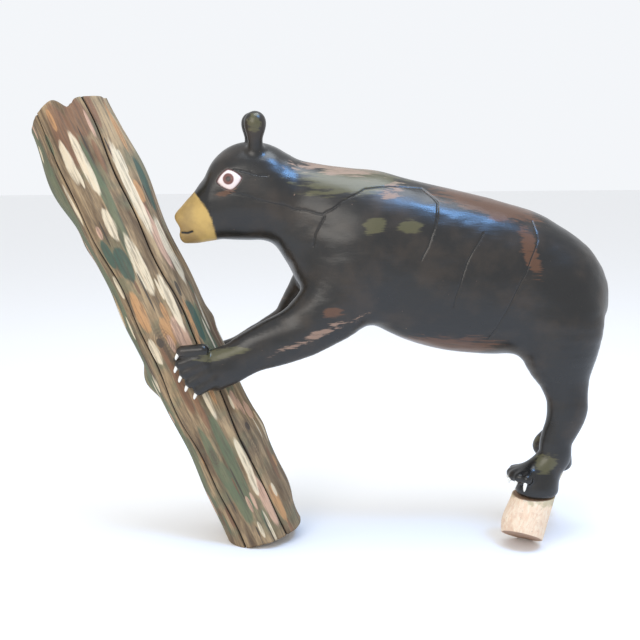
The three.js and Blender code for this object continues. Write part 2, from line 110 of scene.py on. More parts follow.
def smooth_rows(rows, steps):
    """A Catmull-Rom curve through rows of any length, cut into steps between each two."""
    rows = np.array(rows, float)
    last = len(rows) - 1
    out = []
    for i in range(last):
        a, b, c, d = (rows[min(max(i + k, 0), last)] for k in (-1, 0, 1, 2))
        v0, v1 = (c - a) / 2, (d - b) / 2
        for t in np.arange(steps) / steps:
            out.append(b + v0 * t + (3 * (c - b) - 2 * v0 - v1) * t**2 + (2 * (b - c) + v0 + v1) * t**3)
    return np.array(out + [rows[last]])


def smoothstep(x, low, high):
    t = np.clip((np.asarray(x, float) - low) / (high - low), 0, 1)
    return t * t * (3 - 2 * t)


print("two touching forms with a 20 mm fillet gain", -melt(0.0, 0.0, 20), "mm where they meet")

# %% [markdown]
# Wood, paint and chisel marks all need irregularity that is the same on every run. This is a small cloud of
# seeded random values on a lattice, blended smoothly between its points. Stretching the point it is asked
# about turns its blobs into fibres.

# %% Clouds of seeded noise
CLOUD_SIZE = 32
cloud_table = np.random.default_rng(7).uniform(-1, 1, (CLOUD_SIZE,) * 3)


def cloud(points, scale, shift=0.0):
    """Smooth noise from -1 to 1; scale is the size of its blobs along each axis, in millimetres."""
    p = np.asarray(points, float) / np.asarray(scale, float) + shift * 17.31
    base = np.floor(p).astype(int)
    f = p - base
    f = f * f * (3 - 2 * f)
    total = 0.0
    for corner in range(8):
        bit = np.array([corner & 1, corner >> 1 & 1, corner >> 2 & 1])
        at = (base + bit) % CLOUD_SIZE
        weight = np.prod(np.where(bit, f, 1 - f), axis=-1)
        total = total + weight * cloud_table[at[..., 0], at[..., 1], at[..., 2]]
    return total


print("cloud table spreads", cloud_table.std().round(3))

# %% [markdown]
# The bear was cut from one log, so its body is one long loft: a rounded-square section that changes from
# nose to rump. The legs and ears are tapering limbs that follow a curve. The feet are blunt eggs with round
# toes. These are the same named sizes that the CAD solid was made from, so the finer mesh lies on it.

# %% The bear's sizes
TRUNK = [  # x, top, bottom, half width, swing towards the near side
    [-312, 634, 617, 16, 19], [-281, 667, 615, 26, 16], [-259, 692, 612, 33, 15],
    [-238, 715, 612, 40, 12], [-221, 738, 614, 47, 11], [-207, 765, 616, 54, 9],
    [-189, 784, 618, 60, 6], [-166, 798, 617, 66, 4], [-140, 805, 616, 69, 3],
    [-107, 803, 615, 71, 2], [-84, 795, 602, 72, 1], [-60, 781, 564, 73, 0],
    [-32, 768, 516, 77, 0], [30, 757, 474, 92, 0], [108, 748, 445, 103, 0],
    [166, 734, 416, 109, 0], [225, 719, 399, 113, 0], [283, 705, 390, 114, 0],
    [342, 690, 386, 112, 0], [401, 673, 390, 106, 0], [438, 658, 400, 97, 0],
    [475, 636, 416, 86, 0], [503, 616, 430, 76, 0], [527, 594, 440, 64, 0],
    [547, 569, 447, 50, 0], [558, 549, 453, 40, 0], [566, 529, 462, 28, 0],
    [570, 511, 476, 13, 0],
]
SQUARENESS = 2.35
MUZZLE_FRONT, MUZZLE_SLOPE, MUZZLE_LEVEL, MUZZLE_ROUNDING = -281, 0.27, 667, 8
NOSE_UNDERCUT = (6.5, 643, 12)  # depth, level, width
FORELEG = [  # x, distance from the middle plane, z, radius
    [89, 44, 592, 98], [62, 52, 543, 85], [28, 58, 497, 71], [-9, 62, 464, 59],
    [-43, 65, 442, 52], [-92, 69, 422, 47], [-128, 73, 408, 42], [-157, 77, 393, 39],
    [-182, 80, 381, 40], [-204, 82, 373, 41],
]
FORELEG_FLATNESS = 0.62
FAR_SHOULDER_SHIFT = np.array([-23, 0, 0])
FAR_PAW_SHIFT = np.array([-2, 0, -21])
FAR_ELBOW_SPAN = (0.2, 0.62)
HIND_LEG = [
    [462, 40, 520, 84], [467, 46, 456, 86], [469, 50, 398, 72], [477, 56, 352, 51],
    [484, 60, 311, 41], [485, 62, 277, 39], [476, 64, 248, 34], [465, 65, 218, 31],
    [461, 66, 184, 32], [436, 66, 154, 33],
]
HIND_LEG_FLATNESS = 0.8
FAR_HIND_SHIFT = (43, 14)  # back and up at the foot
FAR_HIND_SLIMMER = 4
EAR = [[-119, 38, 782, 18], [-119, 48, 808, 13.5], [-118.5, 50, 835, 20], [-118.5, 50, 842, 20.5]]
EAR_FLATNESS = 0.9
FAR_EAR_SHIFT = -13
FORE_TOES = [  # root x, root z, tip x, tip z
    [-224, 416, -264, 412], [-224, 402, -268, 388], [-221, 389, -261, 370],
    [-215, 373, -250, 352], [-204, 357, -234, 337],
]
FORE_TOE_SIDES = (97, 93)
TOE_RADIUS = 11.5
HIND_FEET = [  # side, sole level, x, half length
    (NEAR, 108, 425, 49), (FAR, 118, 499, 34),
]
FOOT_SIDE, FOOT_HALF_WIDTH = 66, 42
FOOT_MIDDLE_HEIGHT, FOOT_HALF_HEIGHT = 14, 50
HEEL_BACK, TOES_PAST_SOLE, SOLE_ROUNDING = 5, 6, 14
HIND_TOES = [(-34, 4), (-10, 6), (14, 9), (37, 16), (60, 16)]  # turn in degrees, claw length
TOE_ROOT_HEIGHT, TOE_TIP_HEIGHT = 52, 43
FORE_CLAW_LENGTH = 12
print("the trunk is lofted through", len(TRUNK), "sections")

# %% [markdown]
# Each kind of form is one small function that answers with its field and the box that it fills. The box
# matters for speed: a toe is only worked out for points close to it.

# %% One form at a time


def limb(rows, flatness, side):
    """A tapering limb along a curve, flattened across the body, and the box that it fills."""
    path = smooth_rows(rows, 4)
    path[:, 1] *= side / flatness
    scale = min(1, flatness)

    def field(p):
        q = p * [1, 1 / flatness, 1]
        best = np.full(len(p), np.inf)
        for a, b in zip(path[:-1], path[1:]):
            edge = b[:3] - a[:3]
            t = np.clip((q - a[:3]) @ edge / (edge @ edge), 0, 1)
            away = np.linalg.norm(q - a[:3] - t[:, None] * edge, axis=1)
            best = np.minimum(best, away - a[3] - t * (b[3] - a[3]))
        return best * scale

    reach = path[:, 3:4]
    low, high = (path[:, :3] - reach).min(0), (path[:, :3] + reach).max(0)
    low[1], high[1] = low[1] * flatness, high[1] * flatness
    return field, low, high


def egg(centre, radii):
    centre, radii = np.array(centre, float), np.array(radii, float)

    def field(p):
        u = (p - centre) / radii
        reach = np.linalg.norm(u, axis=1)
        return reach * (reach - 1) / np.maximum(np.linalg.norm(u / radii, axis=1), 1e-6)

    return field, centre - radii, centre + radii


def toe(start, end):
    edge = end - start

    def field(p):
        t = np.clip((p - start) @ edge / (edge @ edge), 0, 1)
        return np.linalg.norm(p - start - t[:, None] * edge, axis=1) - TOE_RADIUS

    return field, np.minimum(start, end) - TOE_RADIUS, np.maximum(start, end) + TOE_RADIUS


trunk_rows = smooth_rows(TRUNK, 8)
trunk_x = np.arange(TRUNK[0][0], TRUNK[-1][0] + 1, 2.0)
trunk_table = [np.interp(trunk_x, trunk_rows[:, 0], trunk_rows[:, c]) for c in range(1, 5)]


def trunk_field(p):
    x, y, z = p.T
    top, bottom, half, swing = (np.interp(x, trunk_x, column) for column in trunk_table)
    dy, dz = y + swing, z - (top + bottom) / 2
    sideways, upright = np.abs(dy / half), np.abs(dz / (top - bottom) * 2)
    rho = (sideways**SQUARENESS + upright**SQUARENESS) ** (1 / SQUARENESS)
    shell = np.hypot(dy, dz) * (1 - 1 / np.maximum(rho, 1e-4))
    past = np.maximum(x - trunk_x[-1], trunk_x[0] - x)
    body = np.where(past > 0, np.hypot(np.maximum(shell, 0), past), shell)
    depth, level, breadth = NOSE_UNDERCUT
    hollow = depth * np.exp(-(((z - level) / breadth) ** 2))
    muzzle = MUZZLE_FRONT + MUZZLE_SLOPE * (MUZZLE_LEVEL - z) + hollow - x
    return trim(body, muzzle, MUZZLE_ROUNDING)


print("the trunk is", round(trunk_x[-1] - trunk_x[0]), "mm long")

# %% [markdown]
# The toes are laid out by loops: five side by side over the bark on each forepaw, and five fanned round the
# front of each hind foot. Their lines are kept because the claws are set on them later.

# %% Toes and feet


def toe_lines():
    """Every toe's start, end, sideways bulge of its claw and claw length."""
    lines = []
    for side in (NEAR, FAR):
        shift = FAR_PAW_SHIFT if side == FAR else 0
        for root_x, root_z, tip_x, tip_z in FORE_TOES:
            start = np.array([root_x, side * FORE_TOE_SIDES[0], root_z], float) + shift
            end = np.array([tip_x, side * FORE_TOE_SIDES[1], tip_z], float) + shift
            lines.append((start, end, side * 0.6, FORE_CLAW_LENGTH))
    for side, sole, x, half in HIND_FEET:
        for degrees, claw in HIND_TOES:
            turn = math.radians(degrees)
            way = np.array([-math.cos(turn) * half, side * math.sin(turn) * FOOT_HALF_WIDTH, 0])
            middle = np.array([x, side * FOOT_SIDE, sole + TOE_TIP_HEIGHT], float)
            start = middle + way * 0.35
            start[2] = sole + TOE_ROOT_HEIGHT
            lines.append((start, middle + way * 0.9, 0.0, claw))
    return lines


def foot(side, sole, x, half):
    shape, low, high = egg(
        [x + HEEL_BACK, side * FOOT_SIDE, sole + FOOT_MIDDLE_HEIGHT],
        [half - TOES_PAST_SOLE, FOOT_HALF_WIDTH, FOOT_HALF_HEIGHT])
    return lambda p: trim(shape(p), sole - p[:, 2], SOLE_ROUNDING), low, high


print("there are", len(toe_lines()), "toes")

# %% [markdown]
# Now both sides are put together. The far legs, foot and ear use the near ones' rows, shifted, because the
# bear climbs with its feet apart. Each form carries the width of the fillet that joins it to the rest.

# %% All of the bear's forms
FORELEG_FILLET, HIND_LEG_FILLET, EAR_FILLET, FOOT_FILLET, TOE_FILLET = 26, 28, 8, 16, 5
FAR_LEG_PACE = 1.6  # how soon down the leg the far hind leg reaches its full shift


def bear_forms():
    """Each form's field, its box and the fillet that joins it to the rest."""
    forms = []
    for side in (NEAR, FAR):
        far = int(side == FAR)
        fore = []
        for i, (x, y, z, r) in enumerate(FORELEG):
            down = smoothstep(i / (len(FORELEG) - 1), *FAR_ELBOW_SPAN)
            shift = far * (FAR_SHOULDER_SHIFT + (FAR_PAW_SHIFT - FAR_SHOULDER_SHIFT) * down)
            fore.append([x + shift[0], y, z + shift[2], r])
        hind = []
        for i, (x, y, z, r) in enumerate(HIND_LEG):
            down = far * i / len(HIND_LEG)
            back = min(down * FAR_LEG_PACE, 1) * FAR_HIND_SHIFT[0]
            hind.append([x + back, y, z + down * FAR_HIND_SHIFT[1], r - far * FAR_HIND_SLIMMER])
        ear = [[x + far * FAR_EAR_SHIFT, y, z, r] for x, y, z, r in EAR]
        forms.append((*limb(fore, FORELEG_FLATNESS, side), FORELEG_FILLET))
        forms.append((*limb(hind, HIND_LEG_FLATNESS, side), HIND_LEG_FILLET))
        forms.append((*limb(ear, EAR_FLATNESS, side), EAR_FILLET))
    for row in HIND_FEET:
        forms.append((*foot(*row), FOOT_FILLET))
    for start, end, _, _ in toe_lines():
        forms.append((*toe(start, end), TOE_FILLET))
    return forms


BEAR_FORMS = bear_forms()
CLEAR = 1e3  # the value given where a form is too far away to matter
BOX_MARGIN = 30


def bear_field(p):
    d = trunk_field(p)
    for field, low, high, width in BEAR_FORMS:
        reach = width + BOX_MARGIN
        close = np.all((p > low - reach) & (p < high + reach), axis=1)
        if close.any():
            other = np.full(len(p), CLEAR)
            other[close] = field(p[close])
            d = melt(d, other, width)
    return d


print(len(BEAR_FORMS), "forms melt into the trunk")

# %% [markdown]
# The log is a round stick that leans, with swellings, knots and dents, sawn at its foot and broken at its
# top. Its surface is a radius that depends on how far up the log and how far round it a point is. It has to
# be known before the bear is made, because the paws are cut to lie on it.

# %% The log's sizes
LOG_FOOT = np.array([-115.0, 0.0, 11.0])
LOG_LEAN = math.radians(23.1)
LOG_AXIS = np.array([-math.sin(LOG_LEAN), 0, math.cos(LOG_LEAN)])
LOG_RIGHT = np.array([math.cos(LOG_LEAN), 0, math.sin(LOG_LEAN)])
ACROSS = np.array([0.0, 1.0, 0.0])
LOG_END_SLANT = 0.13
LOG_RADIUS = 79
LOG_LENGTH = 960
LOG_KNOTS = [  # distance up the log, degrees round it, width, height
    (796, 180, 56, 14), (780, 0, 42, 9), (680, 190, 20, 5), (530, 188, 30, 4),
    (455, 2, 14, 6), (212, 0, 20, 4), (385, 180, 26, 19), (444, 180, 18, -8),
    (700, 60, 34, 8), (300, 110, 30, 7), (560, 130, 28, 6), (14, 0, 30, -13),
    (905, 0, 30, -7),
]
LOG_TOP_LEVEL = 891
LOG_TOP_NOTCH = (19, 20, 14)
LOG_TOP_CORNER = (66, 12, 90)


def log_radius(along, angle):
    radius = (LOG_RADIUS + 2.2 * np.cos(3 * angle + 0.6) + 1.6 * np.cos(5 * angle - along / 310)
              + 1.6 * np.sin(along / 61 + 2 * angle) + 1.3 * np.sin(along / 27 - angle))
    for up, degrees, width, height in LOG_KNOTS:
        turn = angle - math.radians(degrees)
        turn = np.arctan2(np.sin(turn), np.cos(turn)) * LOG_RADIUS
        radius = radius + height * np.exp(-((along - up) ** 2 / 2 + turn**2) / width**2)
    return radius


def log_top(across):
    depth, place, width = LOG_TOP_NOTCH
    fall, start, reach = LOG_TOP_CORNER
    notch = depth * np.exp(-(((across - place) / width) ** 2))
    corner = fall * np.maximum(0, (start - across) / reach) ** 1.3
    return LOG_TOP_LEVEL - notch - corner


def log_field(p):
    r = p - LOG_FOOT
    along, right, across = r @ LOG_AXIS, r @ LOG_RIGHT, r[:, 1]
    return np.hypot(right, across) - log_radius(along, np.arctan2(across, right))


print("the log leans", round(math.degrees(LOG_LEAN), 1), "degrees")

# %% [markdown]
# Blender can make a mesh from a field with metaballs or a voxel remesh, but both blur small forms. Surface
# nets are as short to write and can be corrected afterwards: each grid cell that the surface crosses gets
# one point, each crossed grid edge gets one quad, and then every point is pushed exactly onto the field.
# Only cells near the surface are worked out, which keeps it to seconds.

# %% Surface nets: the points
AXIS_STEPS = np.eye(3, dtype=int)
CORNERS = np.array([[c & 1, c >> 1 & 1, c >> 2 & 1] for c in range(8)])
NEAR_SURFACE = 1.05  # coarse cells from the surface that are worked out exactly


def stretched(values, factor):
    """A coarse grid of values, filled in evenly between its points."""
    for axis in range(3):
        count = (values.shape[axis] - 1) * factor + 1
        at = np.arange(count) / factor
        low = np.minimum(at.astype(int), values.shape[axis] - 2)
        t = (at - low).reshape([-1 if a == axis else 1 for a in range(3)])
        values = values.take(low, axis) * (1 - t) + values.take(low + 1, axis) * t
    return values


def sampled(field, low, high, cell, factor=4):
    """The field on a grid, exact near the surface and filled in roughly elsewhere."""
    blocks = np.ceil((np.array(high) - low) / (cell * factor)).astype(int) + 1
    coarse = np.stack(np.meshgrid(*[np.arange(n) for n in blocks], indexing="ij"), -1).reshape(-1, 3)
    rough = field(low + coarse * cell * factor).reshape(blocks)
    values = stretched(rough, factor)
    near = np.argwhere(np.abs(values) < cell * factor * NEAR_SURFACE)
    values[tuple(near.T)] = field(low + near * cell)
    return values


def crossed_cells(values):
    """The cells that the surface passes through, and the middle of its crossings in each."""
    inside = values < 0
    shape = np.array(values.shape) - 1
    views = [inside[tuple(slice(o, o + n) for o, n in zip(c, shape))] for c in CORNERS]
    count = sum(view.astype(int) for view in views)
    cells = np.argwhere((count > 0) & (count < 8))
    v = np.stack([values[tuple((cells + c).T)] for c in CORNERS], 1)
    middle, hits = np.zeros((len(cells), 3)), np.zeros(len(cells))
    for a in range(8):
        for b in range(a + 1, 8):
            if abs(CORNERS[a] - CORNERS[b]).sum() != 1:
                continue
            cross = (v[:, a] < 0) != (v[:, b] < 0)
            t = np.where(cross, v[:, a] / np.where(cross, v[:, a] - v[:, b], 1), 0)[:, None]
            middle += cross[:, None] * (CORNERS[a] + (CORNERS[b] - CORNERS[a]) * t)
            hits += cross
    return cells, cells + middle / hits[:, None]


def test_ball(p):
    return np.linalg.norm(p, axis=1) - 20


ball_cells, _ = crossed_cells(sampled(test_ball, -32, (32, 32, 32), 4))
print("a ball of 20 mm crosses", len(ball_cells), "cells of 4 mm")

# %% [markdown]
# The quads come from the grid's edges: where an edge runs from wood to air, the four cells round it are
# joined, turned so that the face looks out of the wood.

# %% Surface nets: the faces


def surface_net(field, low, high, cell):
    low = np.array(low, float)
    values = sampled(field, low, high, cell)
    inside = values < 0
    shape = np.array(values.shape) - 1
    cells, points = crossed_cells(values)
    number = np.full(shape, -1)
    number[tuple(cells.T)] = np.arange(len(cells))
    quads = []
    for axis in range(3):
        step = AXIS_STEPS[axis]
        u, w = AXIS_STEPS[(axis + 1) % 3], AXIS_STEPS[(axis + 2) % 3]
        span = np.array(values.shape) - step
        start = inside[tuple(slice(0, n) for n in span)]
        end = inside[tuple(slice(s, s + n) for s, n in zip(step, span))]
        at = np.argwhere(start != end)
        at = at[np.all((at - u - w >= -step) & (at < shape + step), axis=1)]
        ring = np.stack([number[tuple((at - o).T)] for o in (u + w, w, 0 * u, u)], 1)
        out = start[tuple(at.T)]
        quads.append(np.where(out[:, None], ring, ring[:, ::-1]))
    return low + points * cell, np.concatenate(quads)


net_points, net_quads = surface_net(test_ball, (-32, -32, -32), (32, 32, 32), 4)
print("the ball's net has", len(net_points), "points and", len(net_quads), "quads")

# %% [markdown]
# A net's points lie only roughly on the form, so they are moved along the field's steepest way until its
# value is nothing. The same slope also gives the direction straight out of the wood.

# %% Settle points on the form
SLOPE_STEP, LONGEST_MOVE, FLATTEST_SLOPE = 0.4, 3, 0.05


def slope(field, points):
    """The field's value and its gradient at each point."""
    steps = np.eye(3) * SLOPE_STEP
    rise = [(field(points + step) - field(points - step)) / (2 * SLOPE_STEP) for step in steps]
    return field(points), np.stack(rise, 1)


def settle(field, points, rounds=2):
    """Points pushed onto the field's surface, and the directions straight out of it."""
    for _ in range(rounds):
        value, out = slope(field, points)
        move = np.clip(value, -LONGEST_MOVE, LONGEST_MOVE) / np.maximum((out**2).sum(1), FLATTEST_SLOPE)
        points = points - out * move[:, None]
    _, out = slope(field, points)
    return points, out / np.maximum(np.linalg.norm(out, axis=1), 1e-9)[:, None]


settled_net, _ = settle(test_ball, net_points)
print("its points end", np.abs(test_ball(settled_net)).max().round(3), "mm or less off the ball")

# %% [markdown]
# Blender's subdivision makes a whole mesh finer. Cutting only the edges that are too long for their place
# keeps the points for the face, toes and cracks. A triangle with one, two or three cut edges becomes two,
# three or four, so no gap opens beside it.

# %% Finer triangles where they are wanted


def triangles_of(points, quads):
    """Each quad cut along its shorter diagonal."""
    a, b, c, d = quads.T
    short = (np.linalg.norm(points[a] - points[c], axis=1)
             < np.linalg.norm(points[b] - points[d], axis=1))[:, None]
    first = np.where(short, np.stack([a, b, c], 1), np.stack([a, b, d], 1))
    second = np.where(short, np.stack([a, c, d], 1), np.stack([b, c, d], 1))
    return np.concatenate([first, second])


def refine(points, triangles, limit):
    """Cuts each edge longer than limit allows at its middle, and the triangles beside it with it."""
    edges = np.sort(triangles[:, [0, 1, 1, 2, 2, 0]].reshape(-1, 2), axis=1)
    edges, which = np.unique(edges, axis=0, return_inverse=True)
    which = which.reshape(-1, 3)
    middles = (points[edges[:, 0]] + points[edges[:, 1]]) / 2
    cut = np.linalg.norm(points[edges[:, 0]] - points[edges[:, 1]], axis=1) > limit(middles)
    number = np.full(len(edges), -1)
    number[cut] = len(points) + np.arange(cut.sum())
    m = number[which]
    count = (m >= 0).sum(1)
    out = [triangles[count == 0]]
    for turn in range(3):
        t, n = np.roll(triangles, -turn, 1), np.roll(m, -turn, 1)
        both = np.concatenate([t, n], 1)  # columns 0 to 2 are corners, 3 to 5 the cuts after them
        one, two = (count == 1) & (n[:, 0] >= 0), (count == 2) & (n[:, 2] < 0)
        out += [both[one][:, pick] for pick in ([0, 3, 2], [3, 1, 2])]
        out += [both[two][:, pick] for pick in ([1, 4, 3], [3, 4, 0], [4, 2, 0])]
    both = np.concatenate([triangles, m], 1)[count == 3]
    out += [both[:, pick] for pick in ([0, 3, 5], [1, 4, 3], [2, 5, 4], [3, 4, 5])]
    return np.concatenate([points, middles[cut]]), np.concatenate(out)


_, cut_triangles = refine(np.eye(3) * 10, np.array([[0, 1, 2]]), lambda middles: 5)
print("one triangle with three long edges becomes", len(cut_triangles))


# %% [markdown]
# Every mesh is stored the same way: its points in metres in the imported frame, smooth shading, and named
# attributes that say where each finish lies. A finish mask made with the mesh travels with it.

# %% Storing a mesh
TORN_GRAIN, TORN_CLOUD = (9, 9, 9), 3


def grid_faces(rows, columns, first=0):
    r, c = np.meshgrid(np.arange(rows - 1), np.arange(columns), indexing="ij")
    a, b = (r * columns + c).ravel() + first, (r * columns + (c + 1) % columns).ravel() + first
    return np.stack([a, b, b + columns, a + columns], 1)


def capped(rings, cap_rings, torn=0.0):
    """A tube of rings, closed at both ends by rings that shrink to a point. The last end can be torn."""
    n = rings.shape[1]
    faces = list(grid_faces(len(rings), n))
    parts = [rings.reshape(-1, 3)]
    shrink = (1 - np.arange(1, cap_rings) / cap_rings)[:, None, None]
    for rim_row in (0, len(rings) - 1):
        rim = rings[rim_row]
        middle = rim.mean(0)
        inner = middle + (rim - middle) * shrink
        if rim_row:
            relief = cloud(inner, TORN_GRAIN, TORN_CLOUD)[..., None] * np.sin(shrink * math.pi) ** 0.5
            inner = inner + LOG_AXIS * torn * relief
        first = sum(len(p) for p in parts)
        hub = first + inner.size // 3
        order = np.concatenate([np.arange(n) + rim_row * n, np.arange(first, hub)]).reshape(-1, n)
        turned = np.roll(order, -1, axis=1)
        quads = np.stack([order[:-1], turned[:-1], turned[1:], order[1:]], -1).reshape(-1, 4)
        fan = np.stack([order[-1], turned[-1], np.full(n, hub)], 1)
        faces += list(quads if rim_row else quads[:, ::-1]) + list(fan if rim_row else fan[:, ::-1])
        parts += [inner.reshape(-1, 3), middle[None]]
    return np.concatenate(parts), faces


def store_mesh(name, points, faces, masks=None, vectors=None):
    mesh = bpy.data.meshes.new(name)
    mesh.vertices.add(len(points))
    mesh.vertices.foreach_set("co", placed(points).astype(np.float32).ravel())
    lengths = np.array([len(f) for f in faces])
    mesh.loops.add(int(lengths.sum()))
    corners_in_order = np.concatenate([np.asarray(f) for f in faces]).astype(np.int32)
    mesh.loops.foreach_set("vertex_index", corners_in_order)
    mesh.polygons.add(len(faces))
    mesh.polygons.foreach_set("loop_start", (np.cumsum(lengths) - lengths).astype(np.int32))
    mesh.polygons.foreach_set("use_smooth", np.ones(len(faces), bool))
    mesh.update(calc_edges=True)
    for key, values in (masks or {}).items():
        layer = mesh.attributes.new(key, "FLOAT", "POINT")
        layer.data.foreach_set("value", np.asarray(values, np.float32))
    for key, values in (vectors or {}).items():
        layer = mesh.attributes.new(key, "FLOAT_VECTOR", "POINT")
        layer.data.foreach_set("vector", np.asarray(values, np.float32).ravel())
    piece = bpy.data.objects.new(name, mesh)
    bpy.context.scene.collection.objects.link(piece)
    print(name, "has", len(points), "points and", len(faces), "faces")
    return piece


print("a ring of 4 points joined to the next makes", len(grid_faces(2, 4)), "faces")

# %% [markdown]
# ## The bear
# The painted wood is smooth, with the long shallow hollows that a grinder leaves after the saw. The mesh is
# traced at 4.6 mm, then made finer only where small forms need it: the face, the toes and the cracks.

# %% Trace the bear
BEAR_CELL = 4.6
BEAR_LOW, BEAR_HIGH = (-300, -130, 90), (590, 130, 880)
BITE = 2.0  # how far the bear's wood reaches into the bark and so closes the seam


def carved_field(p):
    return np.maximum(bear_field(p), -(log_field(p) + BITE))


points, quads = surface_net(carved_field, BEAR_LOW, BEAR_HIGH, BEAR_CELL)
points, _ = settle(carved_field, points, 1)
triangles = triangles_of(points, quads)
print("traced:", len(points), "points,", len(triangles), "triangles")

# %% [markdown]
# The lines that the carver's wood opened along, the mouth and the eyes are drawn on the side of the bear as
# a person would with chalk, in x and z. A point's distance from such a line gives both the depth of a crack
# and the width of its shadow.

# %% Where the lines run
EYE = (-168.0, 736.0)  # x and z of its middle
EYE_HALF_LENGTH, EYE_HALF_HEIGHT, EYE_TILT = 22.0, 17.5, 0.16
IRIS_RADIUS, PUPIL_RADIUS = 10.5, 5.0
SNOUT_EDGE = [[623, -198], [660, -203], [685, -215], [707, -234], [740, -262]]  # z, x
DRYING_CRACKS = [  # x and z of the lines that opened as the wood dried
    [[-167, 712], [-127, 703], [-79, 689], [9, 669]],
    [[-161, 754], [-127, 748], [-95, 741]],
    [[9, 670], [39, 692], [85, 716], [133, 721], [195, 715], [225, 689], [217, 651], [190, 587]],
    [[11, 666], [-6, 634], [-12, 610]],
    [[304, 635], [285, 600], [267, 565], [251, 498]],
    [[405, 653], [410, 620], [387, 563], [362, 510], [323, 430]],
]
MOUTH = [[-264, 635], [-252, 634], [-243, 637]]
WAVER, WAVER_SIZE = 2.2, 24  # how far and how often a crack wanders from its line
NEAR_FLANK_ENDS = -25  # cracks are only on the near flank


def line_distance(p, line):
    """Distance from a line drawn on the bear's side, as seen square to that side."""
    best = np.full(len(p), CLEAR)
    q = p[:, [0, 2]]
    for a, b in zip(np.array(line[:-1], float), np.array(line[1:], float)):
        edge = b - a
        t = np.clip((q - a) @ edge / (edge @ edge), 0, 1)
        best = np.minimum(best, np.linalg.norm(q - a - t[:, None] * edge, axis=1))
    return best


def crack_distance(p):
    waver = np.stack([cloud(p, WAVER_SIZE, 8), 0 * p[:, 0], cloud(p, WAVER_SIZE, 9)], 1) * WAVER
    nearest = np.min([line_distance(p + waver, line) for line in DRYING_CRACKS], axis=0)
    return nearest + np.where(p[:, 1] > NEAR_FLANK_ENDS, CLEAR, 0)


def eye_reach(p):
    """0 at the eye's middle and 1 at its almond rim, and the distance from the iris's middle."""
    u, v = p[:, 0] - EYE[0], p[:, 2] - EYE[1]
    c, s = math.cos(EYE_TILT), math.sin(EYE_TILT)
    u, v = u * c + v * s, v * c - u * s
    almond = np.abs(u / EYE_HALF_LENGTH) ** 1.5 + np.abs(v / EYE_HALF_HEIGHT) ** 1.25
    return almond, np.hypot(u + 1, v - 1.5)


print(len(DRYING_CRACKS), "cracks are drawn")

# %% [markdown]
# A crack needs points about a millimetre apart across it and the broad flank does not, so the longest edge
# allowed depends on the place. After each cut the new points are settled on the form again.

# %% Make the mesh finer where forms are small
PLAIN_EDGE, FACE_EDGE, CRACK_EDGE, FINE_EDGE = 9.0, 5.0, 2.6, 2.2


def wanted_edge(p):
    """The longest edge allowed at each place, in millimetres."""
    limit = np.full(len(p), PLAIN_EDGE)
    face = (p[:, 0] < -130) & (p[:, 2] > 600)
    paws = (p[:, 0] < -200) & (p[:, 2] < 440)
    limit[face | paws] = FACE_EDGE
    limit[crack_distance(p) < 4] = CRACK_EDGE
    limit[(eye_reach(p)[0] < 1.5) & face] = FINE_EDGE
    limit[(line_distance(p, MOUTH) < 8) & face] = FINE_EDGE
    return limit


for _ in range(2):
    points, triangles = refine(points, triangles, wanted_edge)
points, outward = settle(carved_field, points)
print("finer:", len(points), "points,", len(triangles), "triangles")

# %% [markdown]
# Now the small relief is pressed into the settled mesh, straight in or out of the wood: the grinder's
# shallow hollows, the raised eyes with a groove round them, the mouth and the cracks. Depths are in
# millimetres.

# %% Hollows, eyes, mouth and cracks
HOLLOWS = [(0.9, (60, 34, 26), 0), (0.45, (26, 16, 13), 1)]  # depth, size, which cloud
EYE_RISE, LID_DEPTH, CRACK_DEPTH, MOUTH_DEPTH = 2.2, 1.6, 1.7, 2.6
CRACK_WIDTH, MOUTH_WIDTH = 1.25, 2.6
worn = sum(depth * cloud(points, size, which) for depth, size, which in HOLLOWS)
calm = smoothstep(log_field(points), 0, 12)
points = points + outward * (worn * calm)[:, None]
side_on = smoothstep(np.abs(outward[:, 1]), 0.15, 0.4)
almond, iris = eye_reach(points)
head = (points[:, 0] < -120) & (points[:, 2] > 600)
eye = head * side_on
crack = np.exp(-((crack_distance(points) / CRACK_WIDTH) ** 2))
mouth = np.exp(-((line_distance(points, MOUTH) / MOUTH_WIDTH) ** 2)) * head
lid = np.exp(-(((almond - 1.08) / 0.13) ** 2)) * eye
ball = np.clip(1 - almond, 0, 1) * eye
relief = EYE_RISE * ball - LID_DEPTH * lid - CRACK_DEPTH * crack - MOUTH_DEPTH * mouth
points = points + outward * relief[:, None]
print("relief from", relief.min().round(2), "to", relief.max().round(2), "mm")

# %% [markdown]
# The paint has worn where the carving is touched and rained on, and olive highlights are painted where light
# falls on the shoulders, an ear and the feet. Each worn place and each painted highlight is an ellipse on the
# flank, soft at its edge, and its mask travels with the mesh to the shader, which makes that edge ragged.

# %% Worn places, painted highlights and paint edges
SHARP = 0.9  # half width in mm of a painted edge


def patch(p, x, z, length, height, tilt=0.0):
    """1 in the middle of a worn place or a painted highlight on either flank and 0 at its edge."""
    u, v = p[:, 0] - x, p[:, 2] - z
    c, s = math.cos(tilt), math.sin(tilt)
    return np.clip(1.4 - np.hypot((u * c + v * s) / length, (v * c - u * s) / height), 0, 1)


snout_edge = np.interp(points[:, 2], *np.array(SNOUT_EDGE).T) - points[:, 0]
scuffs = [(30, 752, 110, 15, -0.1), (137, 712, 34, 18, 0.3), (-12, 440, 110, 10, 0.4),
          (-120, 470, 60, 9, 0.45)]
# Painted highlight: olive patches where light falls on the shoulders, an ear and the feet.
olive_highlights = [
    (103, 650, 30, 18, 0.4), (60, 735, 130, 40, 0), (169, 648, 30, 16, 0), (-119, 842, 16, 22, 0),
    (-190, 408, 60, 12, 0.2), (440, 180, 30, 20, 0.5),
]
rusts = [
    (320, 685, 140, 26, -0.25), (341, 667, 30, 20, 0), (23, 486, 26, 12, 0), (225, 410, 150, 30, 0),
    (-175, 712, 30, 8, 0.3), (395, 600, 20, 60, 0.3),
]


def most(rows):
    return np.max([patch(points, *row) for row in rows], axis=0)


